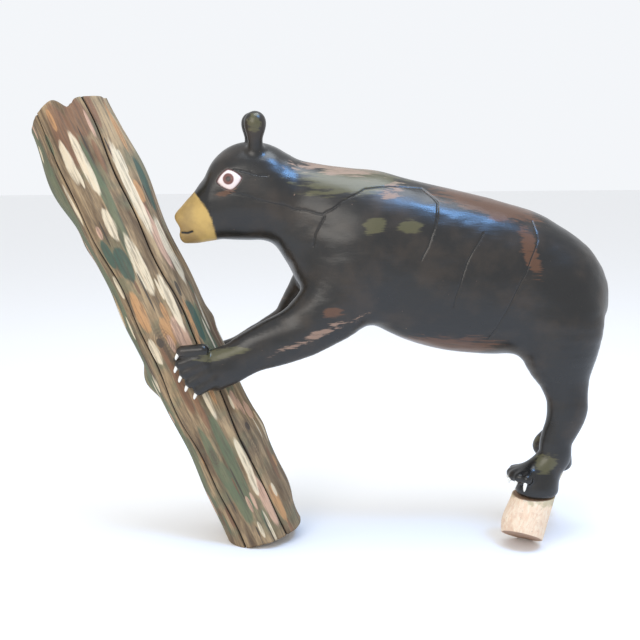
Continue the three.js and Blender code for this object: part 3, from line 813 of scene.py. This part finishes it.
masks = {
    # The crack mask marks where painted shade goes in the cracks and the mouth line.
    "crack": np.maximum(crack, mouth),
    "snout": smoothstep(snout_edge, -1.2, 1.2) * head,
    "eye_white": smoothstep(1.04 - almond, -0.06, 0.06) * eye,
    "iris": smoothstep(IRIS_RADIUS - iris, -SHARP, SHARP) * eye,
    "pupil": smoothstep(PUPIL_RADIUS - iris, -SHARP, SHARP) * eye,
    "lid": lid,
    "claw": np.zeros(len(points)),
    "scuff": most(scuffs),
    "olive_highlight": most(olive_highlights),
    "rust": most(rusts),
}
print("masks on the bear:", ", ".join(masks))

# %% [markdown]
# The claws are small hooked horns. Each is a tapering tube on a bent line, set into the tip of its toe, and
# is stored in the same mesh as the body because it is the same wood. Only its white paint differs.

# %% Claws
CLAW_RADIUS, CLAW_SIDES, CLAW_RINGS = 3.9, 12, 9
CLAW_SET_BACK, CLAW_HOOK, CLAW_BEND = 4.5, 3, 2.4


def unit(v):
    return v / np.linalg.norm(v)


def claw(start, end, bulge, length):
    """A hooked, tapering tube at a toe's tip, as points and triangles."""
    way = unit(end - start)
    root = unit(np.array([way[0], way[1] + bulge, way[2] - 0.3]))
    tip_way = unit(np.array([way[0] * 0.35, way[1] * 0.35 + bulge / 6, -0.9]))
    t = np.linspace(0, 1, CLAW_RINGS)[:, None]
    out = TOE_RADIUS - CLAW_SET_BACK + CLAW_HOOK * np.sin(t * CLAW_BEND)
    line = end + root * out + tip_way * (length + 3) * t - tip_way * 2
    u = unit(np.cross(root, tip_way))
    w = np.cross(tip_way, u)
    turn = np.arange(CLAW_SIDES) / CLAW_SIDES * 2 * math.pi
    ring = (np.cos(turn)[:, None] * u + np.sin(turn)[:, None] * w)[None]
    thick = CLAW_RADIUS * np.sqrt(np.clip(1.02 - t**1.6, 0.02, 1))[..., None]
    shell = np.concatenate([(line[:, None] + ring * thick).reshape(-1, 3), line[:1], line[-1:]])
    quads = grid_faces(CLAW_RINGS, CLAW_SIDES)
    rim = np.arange(CLAW_SIDES)
    last, hub = rim + (CLAW_RINGS - 1) * CLAW_SIDES, CLAW_RINGS * CLAW_SIDES
    base = np.stack([np.roll(rim, -1), rim, np.full(CLAW_SIDES, hub)], 1)
    tip = np.stack([last, np.roll(last, -1), np.full(CLAW_SIDES, hub + 1)], 1)
    return shell, np.concatenate([quads[:, [0, 1, 2]], quads[:, [0, 2, 3]], base, tip])


for toe_line in toe_lines():
    shell, claw_triangles = claw(*toe_line)
    triangles = np.concatenate([triangles, claw_triangles + len(points)])
    points = np.concatenate([points, shell])
    for key in masks:
        masks[key] = np.concatenate([masks[key], np.full(len(shell), float(key == "claw"))])
print("each claw has", len(claw_triangles), "triangles")

# %% [markdown]
# With its claws on, the bear's mesh is stored once. It stands for the CAD solid and rides on the one body, as
# does everything here.

# %% Store the bear
bear = store_mesh("bear_carving", points, triangles, masks)
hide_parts("bear")
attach(bear, "root")

# %% [markdown]
# ## The log
# A weathered log is round, so its mesh is a grid of rows up the log and columns round it. Two long drying
# cracks run its whole length. The columns are bunched along each crack, which gives it crisp lips without a
# finer grid everywhere.

# %% The log's grid
CRACK_OFFSETS = np.array([-5, -3, -1.8, -0.9, -0.35, 0, 0.35, 0.9, 1.8, 3, 5.0])
LOG_ROWS, LOG_COLUMNS = 280, 300
BETWEEN_CRACKS = 0.22  # share of the plain columns that lie between the two cracks
CRACKS = [  # degrees round the log, waver, phase, half width in mm, depth in mm
    (-122.5, 2.4, 0.6, 1.5, 7.0), (-53.5, 2.2, 2.1, 1.3, 6.0),
]


def crack_angle(along, row):
    degrees, waver, phase, _, _ = row
    wander = np.sin(along / 74 + phase) + 0.6 * np.sin(along / 31 + 2 * phase)
    return np.radians(degrees + waver * wander)


def column_angles(along):
    """The angles of all columns at each height, bunched beside the cracks."""
    lips = [crack_angle(along, row)[:, None] + CRACK_OFFSETS / LOG_RADIUS for row in CRACKS]
    plain = LOG_COLUMNS - 2 * len(CRACK_OFFSETS)
    gap = lips[1][:, :1] - lips[0][:, -1:]
    rest = 2 * math.pi - (lips[1][:, -1:] - lips[0][:, :1])
    between = round(plain * BETWEEN_CRACKS)
    t1 = np.arange(1, between + 1) / (between + 1)
    t2 = np.arange(1, plain - between + 1) / (plain - between + 1)
    between, beyond = lips[0][:, -1:] + gap * t1, lips[1][:, -1:] + rest * t2
    return np.concatenate([lips[0], between, lips[1], beyond], 1)


angles = column_angles(np.linspace(0, LOG_LENGTH, LOG_ROWS))
across = np.cos(angles) * LOG_RADIUS
share = np.linspace(0, 1, LOG_ROWS)[:, None]
foot_end = np.maximum(-LOG_END_SLANT * across, -(LOG_FOOT[2] + LOG_RIGHT[2] * across) / LOG_AXIS[2])
top_end = (log_top(across) - LOG_FOOT[2] - LOG_RIGHT[2] * across) / LOG_AXIS[2]
along = foot_end + (top_end - foot_end) * share
print("the log's grid is", *along.shape)

# %% [markdown]
# Each grid point has a height up the log and an angle round it. Its radius is the log's own, with long
# fibres added and the two cracks cut in. The fibres are clouds stretched up the log, worked out on a plain
# round log so that they meet without a seam.

# %% Fibres and cracks
FIBRES = [(0.8, (15, 15, 200), 0), (0.5, (6, 6, 90), 1), (0.3, (3, 3, 60), 2)]  # depth, size, which cloud


def log_point(along, angle, radius):
    right, side = np.cos(angle) * radius, np.sin(angle) * radius
    return LOG_FOOT + along[..., None] * LOG_AXIS + right[..., None] * LOG_RIGHT + side[..., None] * ACROSS


def log_place(along, angle):
    """A point of the straight unit log, for fibres that run up it without a seam."""
    return np.stack([np.cos(angle) * LOG_RADIUS, np.sin(angle) * LOG_RADIUS, along], -1)


place = log_place(along, angles)
fibres = sum(depth * cloud(place, size, which) for depth, size, which in FIBRES)
crack_depth = np.zeros_like(along)
for row in CRACKS:
    off = (angles - crack_angle(along, row) + math.pi) % (2 * math.pi) - math.pi
    crack_depth += row[4] * np.exp(-((off * LOG_RADIUS / row[3]) ** 2))
radius = log_radius(along, angles) + fibres - crack_depth
side_points = log_point(along, angles, radius)
side_points[..., 2] = np.maximum(side_points[..., 2], 0)
print("the deepest crack is", crack_depth.max().round(1), "mm")

# %% [markdown]
# The foot of the log is sawn and its top is broken off. Both ends are closed with rings that shrink to the
# middle, and the top's rings are torn up and down.

# %% Close the log's two ends
CAP_RINGS, TORN_DEPTH = 14, 3.0
log_points, faces = capped(side_points, CAP_RINGS, TORN_DEPTH)
side_count = LOG_ROWS * LOG_COLUMNS
print("the log's ends add", len(log_points) - side_count, "points")

# %% [markdown]
# The bark is mostly gone. What is left is a patchwork of chips: cream where fresh wood was bared, orange and
# rust where it is stained, teal and grey-green where it is mossy. Named strokes put the large ones in
# place, and seeded small ones fill the rest of the log all the way round.

# %% Stained strokes on the log
STROKES = {  # distance up the log, degrees round it, half length, half width
    "pale": [(836, -106, 46, 9), (822, -88, 60, 9), (701, -92, 34, 9), (604, -80, 60, 12), (445, -114, 26, 8),
             (611, -27, 70, 12), (745, -44, 90, 9), (170, -64, 50, 7), (520, -62, 60, 7), (330, -75, 50, 6)],
    "orange": [(526, -109, 40, 11), (870, -20, 50, 8), (735, -33, 24, 8), (60, -44, 40, 9),
               (470, -84, 30, 12)],
    "rust": [(360, -100, 60, 8), (715, -36, 34, 6), (880, -96, 60, 22), (300, -90, 40, 6),
             (905, -70, 40, 20)],
    "teal": [(625, -99, 34, 14), (740, -16, 60, 9), (650, -112, 30, 8), (470, -40, 40, 10)],
    "green": [(760, -80, 110, 9), (190, -82, 110, 11), (200, -104, 70, 9), (640, -85, 70, 5),
              (800, -155, 160, 30),
              (560, -150, 180, 26), (250, -150, 200, 24), (400, -30, 90, 16), (120, -95, 70, 14)],
    "pink": [(456, -68, 36, 14), (255, -18, 20, 9), (290, -36, 20, 7), (640, -38, 70, 9), (80, -60, 60, 9)],
    "dark": [(457, -101, 10, 7), (231, -36, 9, 5), (539, -45, 16, 3), (415, -80, 8, 26), (690, -104, 30, 2),
             (560, -88, 40, 2), (140, -88, 40, 2), (850, -75, 40, 2)],
}
relative = log_points - LOG_FOOT
up_log = relative @ LOG_AXIS
round_log = np.degrees(np.arctan2(relative[:, 1], relative @ LOG_RIGHT))


def sideways_from(degrees):
    """How far round the log each point is from an angle, in millimetres."""
    return np.radians((round_log - degrees + 180) % 360 - 180) * LOG_RADIUS


def stroke(row):
    up, degrees, length, width = row
    return np.clip(1.5 - np.hypot((up_log - up) / length, sideways_from(degrees) / width), 0, 1)


print("named strokes:", sum(len(rows) for rows in STROKES.values()))

# %% [markdown]
# The small marks are drawn at random from the same kinds, always from the same seed. Knots are rings of
# light and dark round a point, wobbled a little, that fade towards their edge.

# %% Seeded strokes and knot rings
SMALL_STROKES, STROKE_SEED = 190, 11
KINDS = ["pale", "pale", "pink", "rust", "dark", "green", "orange"]
HIGHEST_STROKE, LENGTHS, WIDTHS, DARK_THINNER = 940, (12, 46), (2, 6), 0.35
KNOT_RINGS = [(457, -96, 26), (190, -41, 18), (205, -103, 16), (396, -80, 14), (231, -36, 12)]
draw = np.random.default_rng(STROKE_SEED)
tints = {key: [*rows] for key, rows in STROKES.items()}
for _ in range(SMALL_STROKES):
    key = str(draw.choice(KINDS))
    thin = DARK_THINNER if key == "dark" else 1
    where = (draw.uniform(0, HIGHEST_STROKE), draw.uniform(-180, 180))
    row = (*where, draw.uniform(*LENGTHS), draw.uniform(*WIDTHS) * thin)
    tints[key].append(row)
log_masks = {key: np.max([stroke(row) for row in rows], axis=0) for key, rows in tints.items()}
# The crack mask is each crack's depth, which the shader turns into painted shade.
log_masks["crack"] = np.zeros(len(log_points))
log_masks["crack"][:side_count] = (crack_depth / 6).ravel()
rings = np.zeros(len(log_points))
for up, degrees, reach in KNOT_RINGS:
    away = np.hypot((up_log - up) / 1.5, sideways_from(degrees)) + 1.5 * cloud(log_points, 14, 6)
    rings += (0.5 + 0.5 * np.sin(away * 1.5)) * smoothstep(reach - away, 0, reach * 0.5)
log_masks["rings"] = rings
log_masks["sawn"] = np.zeros(len(log_points))
log_masks["sawn"][side_count:] = 1.0
print("the log carries", sum(len(rows) for rows in tints.values()), "strokes")

# %% [markdown]
# The grain's coordinates run along the log's own axis, so the shader's streaks lean with it. They are
# stored beside the masks, in metres.

# %% Store the log
grain_place = np.stack([relative @ LOG_RIGHT, relative[:, 1], up_log], 1) * MM
log = store_mesh("weathered_log", log_points, faces, log_masks, {"grain_place": grain_place})
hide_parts("log")
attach(log, "root")

# %% [markdown]
# ## The posts
# Each hind foot stands on a short leaning post of bare wood. Its top is level under the sole, and it is sawn
# aslant at the ground.

# %% The posts
POST_BELLY = 6
POST_END_SLOPES = (-0.3, 0.535)
FIT_GAP = 0.5
POSTS = [  # name, side, radius, sole, foot
    ("hind_post_near", NEAR, 41, (424.5, -66, 108), (402, -72, 21.5)),
    ("hind_post_far", FAR, 33, (484, 66, 118), (446, 72, 17)),
]
POST_ROWS, POST_COLUMNS, POST_CAP_RINGS = 40, 120, 12
POST_FIBRES = [(0.5, (9, 9, 60), 4), (0.25, (4, 4, 30), 5)]  # depth, size, which cloud
POST_LENGTH = 90
DAMP_FROM, DAMP_TO = 50, 95  # height over the sawn end where the damp stain begins and is full


def post_mesh(name, side, radius, sole, end):
    top, end = np.array(sole, float) - [0, 0, FIT_GAP], np.array(end, float)
    axis = unit(end - top)
    right = unit(np.array([1.0, 0, 0]) - axis[0] * axis)
    front = np.cross(axis, right)
    level, sawn = np.array([0, 0, 1.0]), np.array([-POST_END_SLOPES[0], -side * POST_END_SLOPES[1], 1.0])
    angle = np.arange(POST_COLUMNS) / POST_COLUMNS * 2 * math.pi
    down = np.linspace(0, 1, POST_ROWS)[:, None]
    reach = radius + POST_BELLY * np.sin(math.pi * down**1.5) * np.maximum(0, -np.cos(angle))
    wood = np.broadcast_arrays(np.cos(angle) * radius, np.sin(angle) * radius, down * POST_LENGTH)
    wood = np.stack(wood, -1)
    reach = reach + sum(depth * cloud(wood, size, which) for depth, size, which in POST_FIBRES)
    out = top + (np.cos(angle) * reach)[..., None] * right + (np.sin(angle) * reach)[..., None] * front

    def meet(normal, through):
        return out + (((through - out) @ normal) / (axis @ normal))[..., None] * axis

    rows = meet(level, top) * (1 - down[..., None]) + meet(sawn, end) * down[..., None]
    rows[..., 2] = np.maximum(rows[..., 2], 0)
    whole, faces = capped(rows, POST_CAP_RINGS)
    sawn_end = np.zeros(len(whole))
    sawn_end[POST_ROWS * POST_COLUMNS:] = 1.0
    masks = {"sawn": sawn_end, "under_foot": smoothstep((whole - end) @ -axis, DAMP_FROM, DAMP_TO)}
    grain_place = np.stack([(whole - top) @ right, (whole - top) @ front, (whole - top) @ axis], 1) * MM
    piece = store_mesh(name + "_wood", whole, faces, masks, {"grain_place": grain_place})
    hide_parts(name)
    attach(piece, "root")
    return piece


posts = [post_mesh(*row) for row in POSTS]

# %% [markdown]
# ## The finishes
# Each finish is a Principled shader fed by node groups. Typing out every node would take hundreds of lines,
# so a few helpers make one node each and join it to what feeds it. A value can be a number or a socket.

# %% Helpers for nodes


def link(tree, value, socket):
    if isinstance(value, bpy.types.NodeSocket):
        tree.links.new(value, socket)
    else:
        socket.default_value = value


def make(tree, kind, inputs=None, **settings):
    made = tree.nodes.new(kind)
    for key, value in settings.items():
        setattr(made, key, value)
    for key, value in (inputs or {}).items():
        link(tree, value, made.inputs[key])
    return made


def mix(tree, amount, a, b):
    made = make(tree, "ShaderNodeMix", data_type="RGBA")
    for value, socket in ((amount, 0), (a, 6), (b, 7)):
        link(tree, value, made.inputs[socket])
    return made.outputs[2]


def maths(tree, operation, a, b):
    made = make(tree, "ShaderNodeMath", operation=operation)
    link(tree, a, made.inputs[0])
    link(tree, b, made.inputs[1])
    return made.outputs[0]


def times(tree, a, b):
    return maths(tree, "MULTIPLY", a, b)


def ramp(tree, value, low, high):
    made = make(tree, "ShaderNodeMapRange", {"Value": value, "From Min": low, "From Max": high})
    made.interpolation_type = "SMOOTHSTEP"
    return made.outputs["Result"]


def attribute(tree, name, output="Fac"):
    return make(tree, "ShaderNodeAttribute", attribute_name=name).outputs[output]


def noise(tree, place, scale, detail=3, rough=0.55):
    inputs = {"Vector": place, "Scale": scale, "Detail": detail, "Roughness": rough}
    return make(tree, "ShaderNodeTexNoise", inputs).outputs["Fac"]


def tinted(tree, colour, mask, strength, tint):
    """The colour with a tint laid over it where the mask is."""
    return mix(tree, times(tree, mask, strength), colour, tint)


def surface(name):
    material = bpy.data.materials.new(name)
    material.use_nodes = True
    return material, material.node_tree, material.node_tree.nodes["Principled BSDF"]


def raise_grain(tree, shader, height, strength, distance):
    bump = make(tree, "ShaderNodeBump", {"Strength": strength, "Distance": distance, "Height": height})
    link(tree, bump.outputs[0], shader.inputs["Normal"])


print("materials before the finishes:", len(bpy.data.materials))

# %% [markdown]
# Two effects are used by more than one finish, so each is built once as a node group. Ragged edge pushes a
# soft mask up and down with noise, so that paint or stain ends in fibres. Wood grain is noise squeezed
# along the grain.

# %% The shared groups
FLOAT, VECTOR = "NodeSocketFloat", "NodeSocketVector"
RAGGED_LOW, RAGGED_HIGH = 0.38, 0.62
GRAIN_DETAIL, GRAIN_ROUGHNESS = 5, 0.62


def group(name, inputs, output):
    tree = bpy.data.node_groups.new(name, "ShaderNodeTree")
    for key, kind in inputs.items():
        tree.interface.new_socket(key, in_out="INPUT", socket_type=kind)
    tree.interface.new_socket(output, in_out="OUTPUT", socket_type=FLOAT)
    return tree, tree.nodes.new("NodeGroupInput").outputs, tree.nodes.new("NodeGroupOutput").inputs[output]


def use(tree, made_group, **inputs):
    node = make(tree, "ShaderNodeGroup", node_tree=made_group)
    for key, value in inputs.items():
        link(tree, value, node.inputs[key])
    return node.outputs[0]


ragged, given, result = group("ragged_edge", {"Mask": FLOAT, "Noise": FLOAT, "Raggedness": FLOAT}, "Mask")
pushed = times(ragged, maths(ragged, "SUBTRACT", given["Noise"], 0.5), given["Raggedness"])
link(ragged, ramp(ragged, maths(ragged, "ADD", given["Mask"], pushed), RAGGED_LOW, RAGGED_HIGH), result)

grain, given, result = group("wood_grain", {"Place": VECTOR, "Across": FLOAT, "Stretch": FLOAT}, "Grain")
squeeze = make(grain, "ShaderNodeCombineXYZ", {"X": 1.0, "Y": 1.0, "Z": given["Stretch"]}).outputs[0]
along_grain = make(grain, "ShaderNodeVectorMath", {0: given["Place"], 1: squeeze}, operation="MULTIPLY")
link(grain, noise(grain, along_grain.outputs[0], given["Across"], GRAIN_DETAIL, GRAIN_ROUGHNESS), result)
print("shared groups:", ragged.name, grain.name)

# %% [markdown]
# The paint is a near-black gloss that has weathered: brown where it is thin, pinkish where bare wood shows
# through in scuffs. Olive patches on the shoulders, an ear and the feet are a painted highlight. The snout,
# eyes and claws are other colours of paint. A real painter would lay these over the black, so the nodes do
# the same, one coat after another.

# %% Black paint: the worn coat and the painted highlight
BLACK, BROWN = (0.009, 0.008, 0.007, 1), (0.026, 0.018, 0.012, 1)
# The olive colour and the olive row of the list below are a painted highlight; rust and scuff are wear.
RUST, OLIVE_HIGHLIGHT, BARE = (0.11, 0.045, 0.02, 1), (0.085, 0.075, 0.032, 1), (0.33, 0.21, 0.15, 1)
WEAR_AND_HIGHLIGHT = [  # mask, colour, share of the mask, raggedness, strength
    ("rust", RUST, 0.72, 1.3, 0.75), ("olive_highlight", OLIVE_HIGHLIGHT, 0.75, 1.4, 0.8), ("scuff", BARE, 0.62, 1.8, 0.7),
]
BROAD, FINE, STREAK, STREAK_STRETCH = 14.0, 110.0, 160.0, 0.12  # noise scales, per metre
paint, tree, shader = surface("black_paint")
spot = make(tree, "ShaderNodeTexCoord").outputs["Object"]
broad = noise(tree, spot, BROAD, 4)
fine = noise(tree, spot, FINE, 4, 0.65)
quarter_turn = {"Vector": spot, "Angle": math.pi / 2}
lengthwise = make(tree, "ShaderNodeVectorRotate", quarter_turn, rotation_type="Y_AXIS")
streak = use(tree, grain, Place=lengthwise.outputs[0], Across=STREAK, Stretch=STREAK_STRETCH)
colour = mix(tree, ramp(tree, broad, 0.42, 0.72), BLACK, BROWN)
# Each row lays its mask over the black: rust and scuff as wear, the olive row as a painted highlight.
for key, tint, share_of_mask, raggedness, strength in WEAR_AND_HIGHLIGHT:
    soft = times(tree, attribute(tree, key), share_of_mask)
    wear_and_highlight = use(tree, ragged, Mask=soft, Noise=streak, Raggedness=raggedness)
    colour = tinted(tree, colour, wear_and_highlight, strength, tint)
colour = tinted(tree, colour, ramp(tree, fine, 0.71, 0.76), 0.5, BARE)
# The count includes the painted olive highlight.
print("the black coat wears in", len(WEAR_AND_HIGHLIGHT), "ways")

# %% [markdown]
# The face and claws are small flat areas of other paint with crisp edges, so their masks come straight from
# the mesh. The cracks and the mouth line get a near-black painted shade, and it goes on last because they cut
# through every coat.

# %% Black paint: the coloured coats, the painted shade in the cracks and the gloss
OCHRE, OCHRE_DARK = (0.50, 0.33, 0.10, 1), (0.24, 0.15, 0.05, 1)
COATS = [
    ("lid", (0.10, 0.035, 0.03, 1)), ("eye_white", (0.72, 0.60, 0.56, 1)), ("iris", (0.13, 0.045, 0.035, 1)),
    ("pupil", (0.02, 0.008, 0.008, 1)), ("claw", (0.78, 0.76, 0.70, 1)),
]
# The near black of the painted shade inside the cracks and the mouth line.
CRACK_SHADE_BLACK = (0.006, 0.005, 0.004, 1)
GLOSS_ROUGHNESS, CLOUDED, DULLED = 0.20, 0.22, 0.25
snout = attribute(tree, "snout")
colour = mix(tree, snout, colour, mix(tree, ramp(tree, broad, 0.35, 0.7), OCHRE, OCHRE_DARK))
for key, coat in COATS:
    colour = mix(tree, attribute(tree, key), colour, coat)
# Painted shade: the cracks and the mouth line are darkened as if in shadow.
colour = mix(tree, ramp(tree, attribute(tree, "crack"), 0.25, 0.8), colour, CRACK_SHADE_BLACK)
link(tree, colour, shader.inputs["Base Color"])
rubbed = maths(tree, "ADD", times(tree, broad, CLOUDED), GLOSS_ROUGHNESS)
matt = maths(tree, "MAXIMUM", wear_and_highlight, snout)
link(tree, maths(tree, "ADD", rubbed, times(tree, matt, DULLED)), shader.inputs["Roughness"])
raise_grain(tree, shader, maths(tree, "ADD", times(tree, streak, 0.6), times(tree, fine, 0.25)), 0.22, 0.002)
bear.data.materials.append(paint)
print("the paint has", len(tree.nodes), "nodes")

# %% [markdown]
# The log's colour starts as brown and grey-green grain. Every stain is mixed over it through the ragged
# group, so its edge follows the fibres, and the knot rings and a painted shade in the drying cracks go on
# last.

# %% Weathered log
HEARTWOOD, SAPWOOD, MOSS = (0.10, 0.062, 0.032, 1), (0.40, 0.28, 0.155, 1), (0.13, 0.14, 0.08, 1)
FIBRE_SHADOW, RING_BROWN = (0.07, 0.05, 0.035, 1), (0.09, 0.06, 0.04, 1)
# The second brown on the next line is painted shade for inside the drying cracks.
LOG_END_BROWN, CRACK_SHADE_BROWN = (0.20, 0.13, 0.08, 1), (0.018, 0.013, 0.01, 1)
TINTS = [  # stain, colour, strength
    ("green", (0.095, 0.125, 0.07, 1), 0.82), ("rust", (0.19, 0.085, 0.045, 1), 0.7),
    ("teal", (0.035, 0.08, 0.06, 1), 0.85), ("orange", (0.50, 0.26, 0.11, 1), 0.8),
    ("pink", (0.60, 0.37, 0.26, 1), 0.75), ("pale", (0.72, 0.60, 0.42, 1), 0.85),
    ("dark", (0.05, 0.04, 0.03, 1), 0.9),
]
STAIN_RAGGEDNESS = 1.1
wood, tree, shader = surface("weathered_log")
place = attribute(tree, "grain_place", "Vector")
wide_grain = use(tree, grain, Place=place, Across=55.0, Stretch=0.12)
fine_grain = use(tree, grain, Place=place, Across=260.0, Stretch=0.06)
blotch = noise(tree, place, 16.0, 4)
colour = mix(tree, ramp(tree, wide_grain, 0.32, 0.68), HEARTWOOD, SAPWOOD)
colour = tinted(tree, colour, ramp(tree, blotch, 0.48, 0.66), 0.6, MOSS)
for key, tint, strength in TINTS:
    mask = use(tree, ragged, Mask=attribute(tree, key), Noise=wide_grain, Raggedness=STAIN_RAGGEDNESS)
    colour = tinted(tree, colour, mask, strength, tint)
colour = tinted(tree, colour, ramp(tree, fine_grain, 0.55, 0.36), 0.5, FIBRE_SHADOW)
colour = tinted(tree, colour, attribute(tree, "rings"), 0.65, RING_BROWN)
colour = tinted(tree, colour, attribute(tree, "sawn"), 0.6, LOG_END_BROWN)
# Painted shade: each drying crack is darkened in step with its depth.
colour = mix(tree, ramp(tree, attribute(tree, "crack"), 0.1, 0.6), colour, CRACK_SHADE_BROWN)
link(tree, colour, shader.inputs["Base Color"])
link(tree, maths(tree, "ADD", times(tree, fine_grain, 0.3), 0.6), shader.inputs["Roughness"])
raise_grain(tree, shader, maths(tree, "ADD", times(tree, fine_grain, 0.7), times(tree, wide_grain, 0.8)),
            0.7, 0.004)
log.data.materials.append(wood)
print("the log mixes", len(TINTS), "stains in", len(tree.nodes), "nodes")

# %% [markdown]
# The posts are newer wood, pale pink and tan, with fine streaks, dark flecks and a green stain where the foot
# keeps them damp. Their sawn ends are redder.

# %% Bare wood
PALE_PINK, PALE_TAN, WARM = (0.74, 0.53, 0.37, 1), (0.80, 0.66, 0.50, 1), (0.62, 0.40, 0.27, 1)
DAMP_GREEN, FLECK, SAWN_RED = (0.36, 0.35, 0.20, 1), (0.16, 0.10, 0.06, 1), (0.30, 0.17, 0.11, 1)
bare, tree, shader = surface("bare_wood")
place = attribute(tree, "grain_place", "Vector")
streaks = use(tree, grain, Place=place, Across=240.0, Stretch=0.3)
blotch = noise(tree, place, 60.0, 4, 0.6)
colour = mix(tree, ramp(tree, streaks, 0.35, 0.65), PALE_PINK, PALE_TAN)
colour = tinted(tree, colour, ramp(tree, blotch, 0.5, 0.68), 0.55, WARM)
damp = times(tree, attribute(tree, "under_foot"), 0.7)
colour = tinted(tree, colour, use(tree, ragged, Mask=damp, Noise=blotch, Raggedness=1.6), 0.55, DAMP_GREEN)
colour = tinted(tree, colour, ramp(tree, noise(tree, place, 330.0, 2), 0.68, 0.74), 0.6, FLECK)
colour = tinted(tree, colour, attribute(tree, "sawn"), 0.85, SAWN_RED)
link(tree, colour, shader.inputs["Base Color"])
link(tree, maths(tree, "ADD", times(tree, streaks, 0.3), 0.6), shader.inputs["Roughness"])
raise_grain(tree, shader, streaks, 0.5, 0.001)
for post in posts:
    post.data.materials.append(bare)
print("the bare wood has", len(tree.nodes), "nodes")

# %% [markdown]
# ## The stage
# A plain pale floor and a pale world, so that nothing competes with the carving. The floor isn't part of the
# object.

# %% Floor
FLOOR = 12.0
FLOOR_GREY, FLOOR_ROUGHNESS = 0.9, 0.95
floor_mesh = bpy.data.meshes.new("floor")
corners = [(-FLOOR, -FLOOR, 0), (FLOOR, -FLOOR, 0), (FLOOR, FLOOR, 0), (-FLOOR, FLOOR, 0)]
floor_mesh.from_pydata(corners, [], [(0, 1, 2, 3)])
floor = bpy.data.objects.new("floor", floor_mesh)
bpy.context.scene.collection.objects.link(floor)
floor_paint, tree, shader = surface("floor")
shader.inputs["Base Color"].default_value = (FLOOR_GREY, FLOOR_GREY, FLOOR_GREY, 1)
shader.inputs["Roughness"].default_value = FLOOR_ROUGHNESS
floor_mesh.materials.append(floor_paint)
print("the floor is", 2 * FLOOR, "m square")

# %% [markdown]
# Three soft panels light it. One wide panel overhead gives the broad sheen along the back, a warmer one at
# the front left shows the log, and a small blue one, like a window, draws the cool reflection on the flank.

# %% Lights
PANELS = [  # name, place, what it faces, size, power, colour
    ("overhead", (0.3, -0.2, 2.6), (0.1, 0, 0.4), (1.6, 1.0), 30, (0.86, 0.93, 1.0)),
    ("front", (-1.4, -2.6, 1.7), (0, 0, 0.4), (1.6, 1.6), 32, (1.0, 0.95, 0.88)),
    ("window_blue", (0.85, -0.83, 2.4), (0.38, -0.08, 0.62), (0.55, 0.3), 26, (0.22, 0.5, 1.0)),
]
WORLD_COLOUR, WORLD_STRENGTH = (0.95, 0.97, 1.0, 1), 0.95
for name, stands_at, target, size, power, tint in PANELS:
    data = bpy.data.lights.new(name, "AREA")
    data.shape = "RECTANGLE"
    data.size, data.size_y = size
    data.energy = power
    data.color = tint
    lamp = bpy.data.objects.new(name, data)
    lamp.location = Vector(stands_at)
    lamp.rotation_mode = "QUATERNION"
    lamp.rotation_quaternion = (Vector(target) - Vector(stands_at)).to_track_quat("-Z", "Y")
    bpy.context.scene.collection.objects.link(lamp)
world = bpy.data.worlds.new("studio")
world.use_nodes = True
world.node_tree.nodes["Background"].inputs["Color"].default_value = WORLD_COLOUR
world.node_tree.nodes["Background"].inputs["Strength"].default_value = WORLD_STRENGTH
bpy.context.scene.world = world
bpy.context.scene.view_settings.view_transform = "Standard"
print(len(PANELS), "panels light the carving")
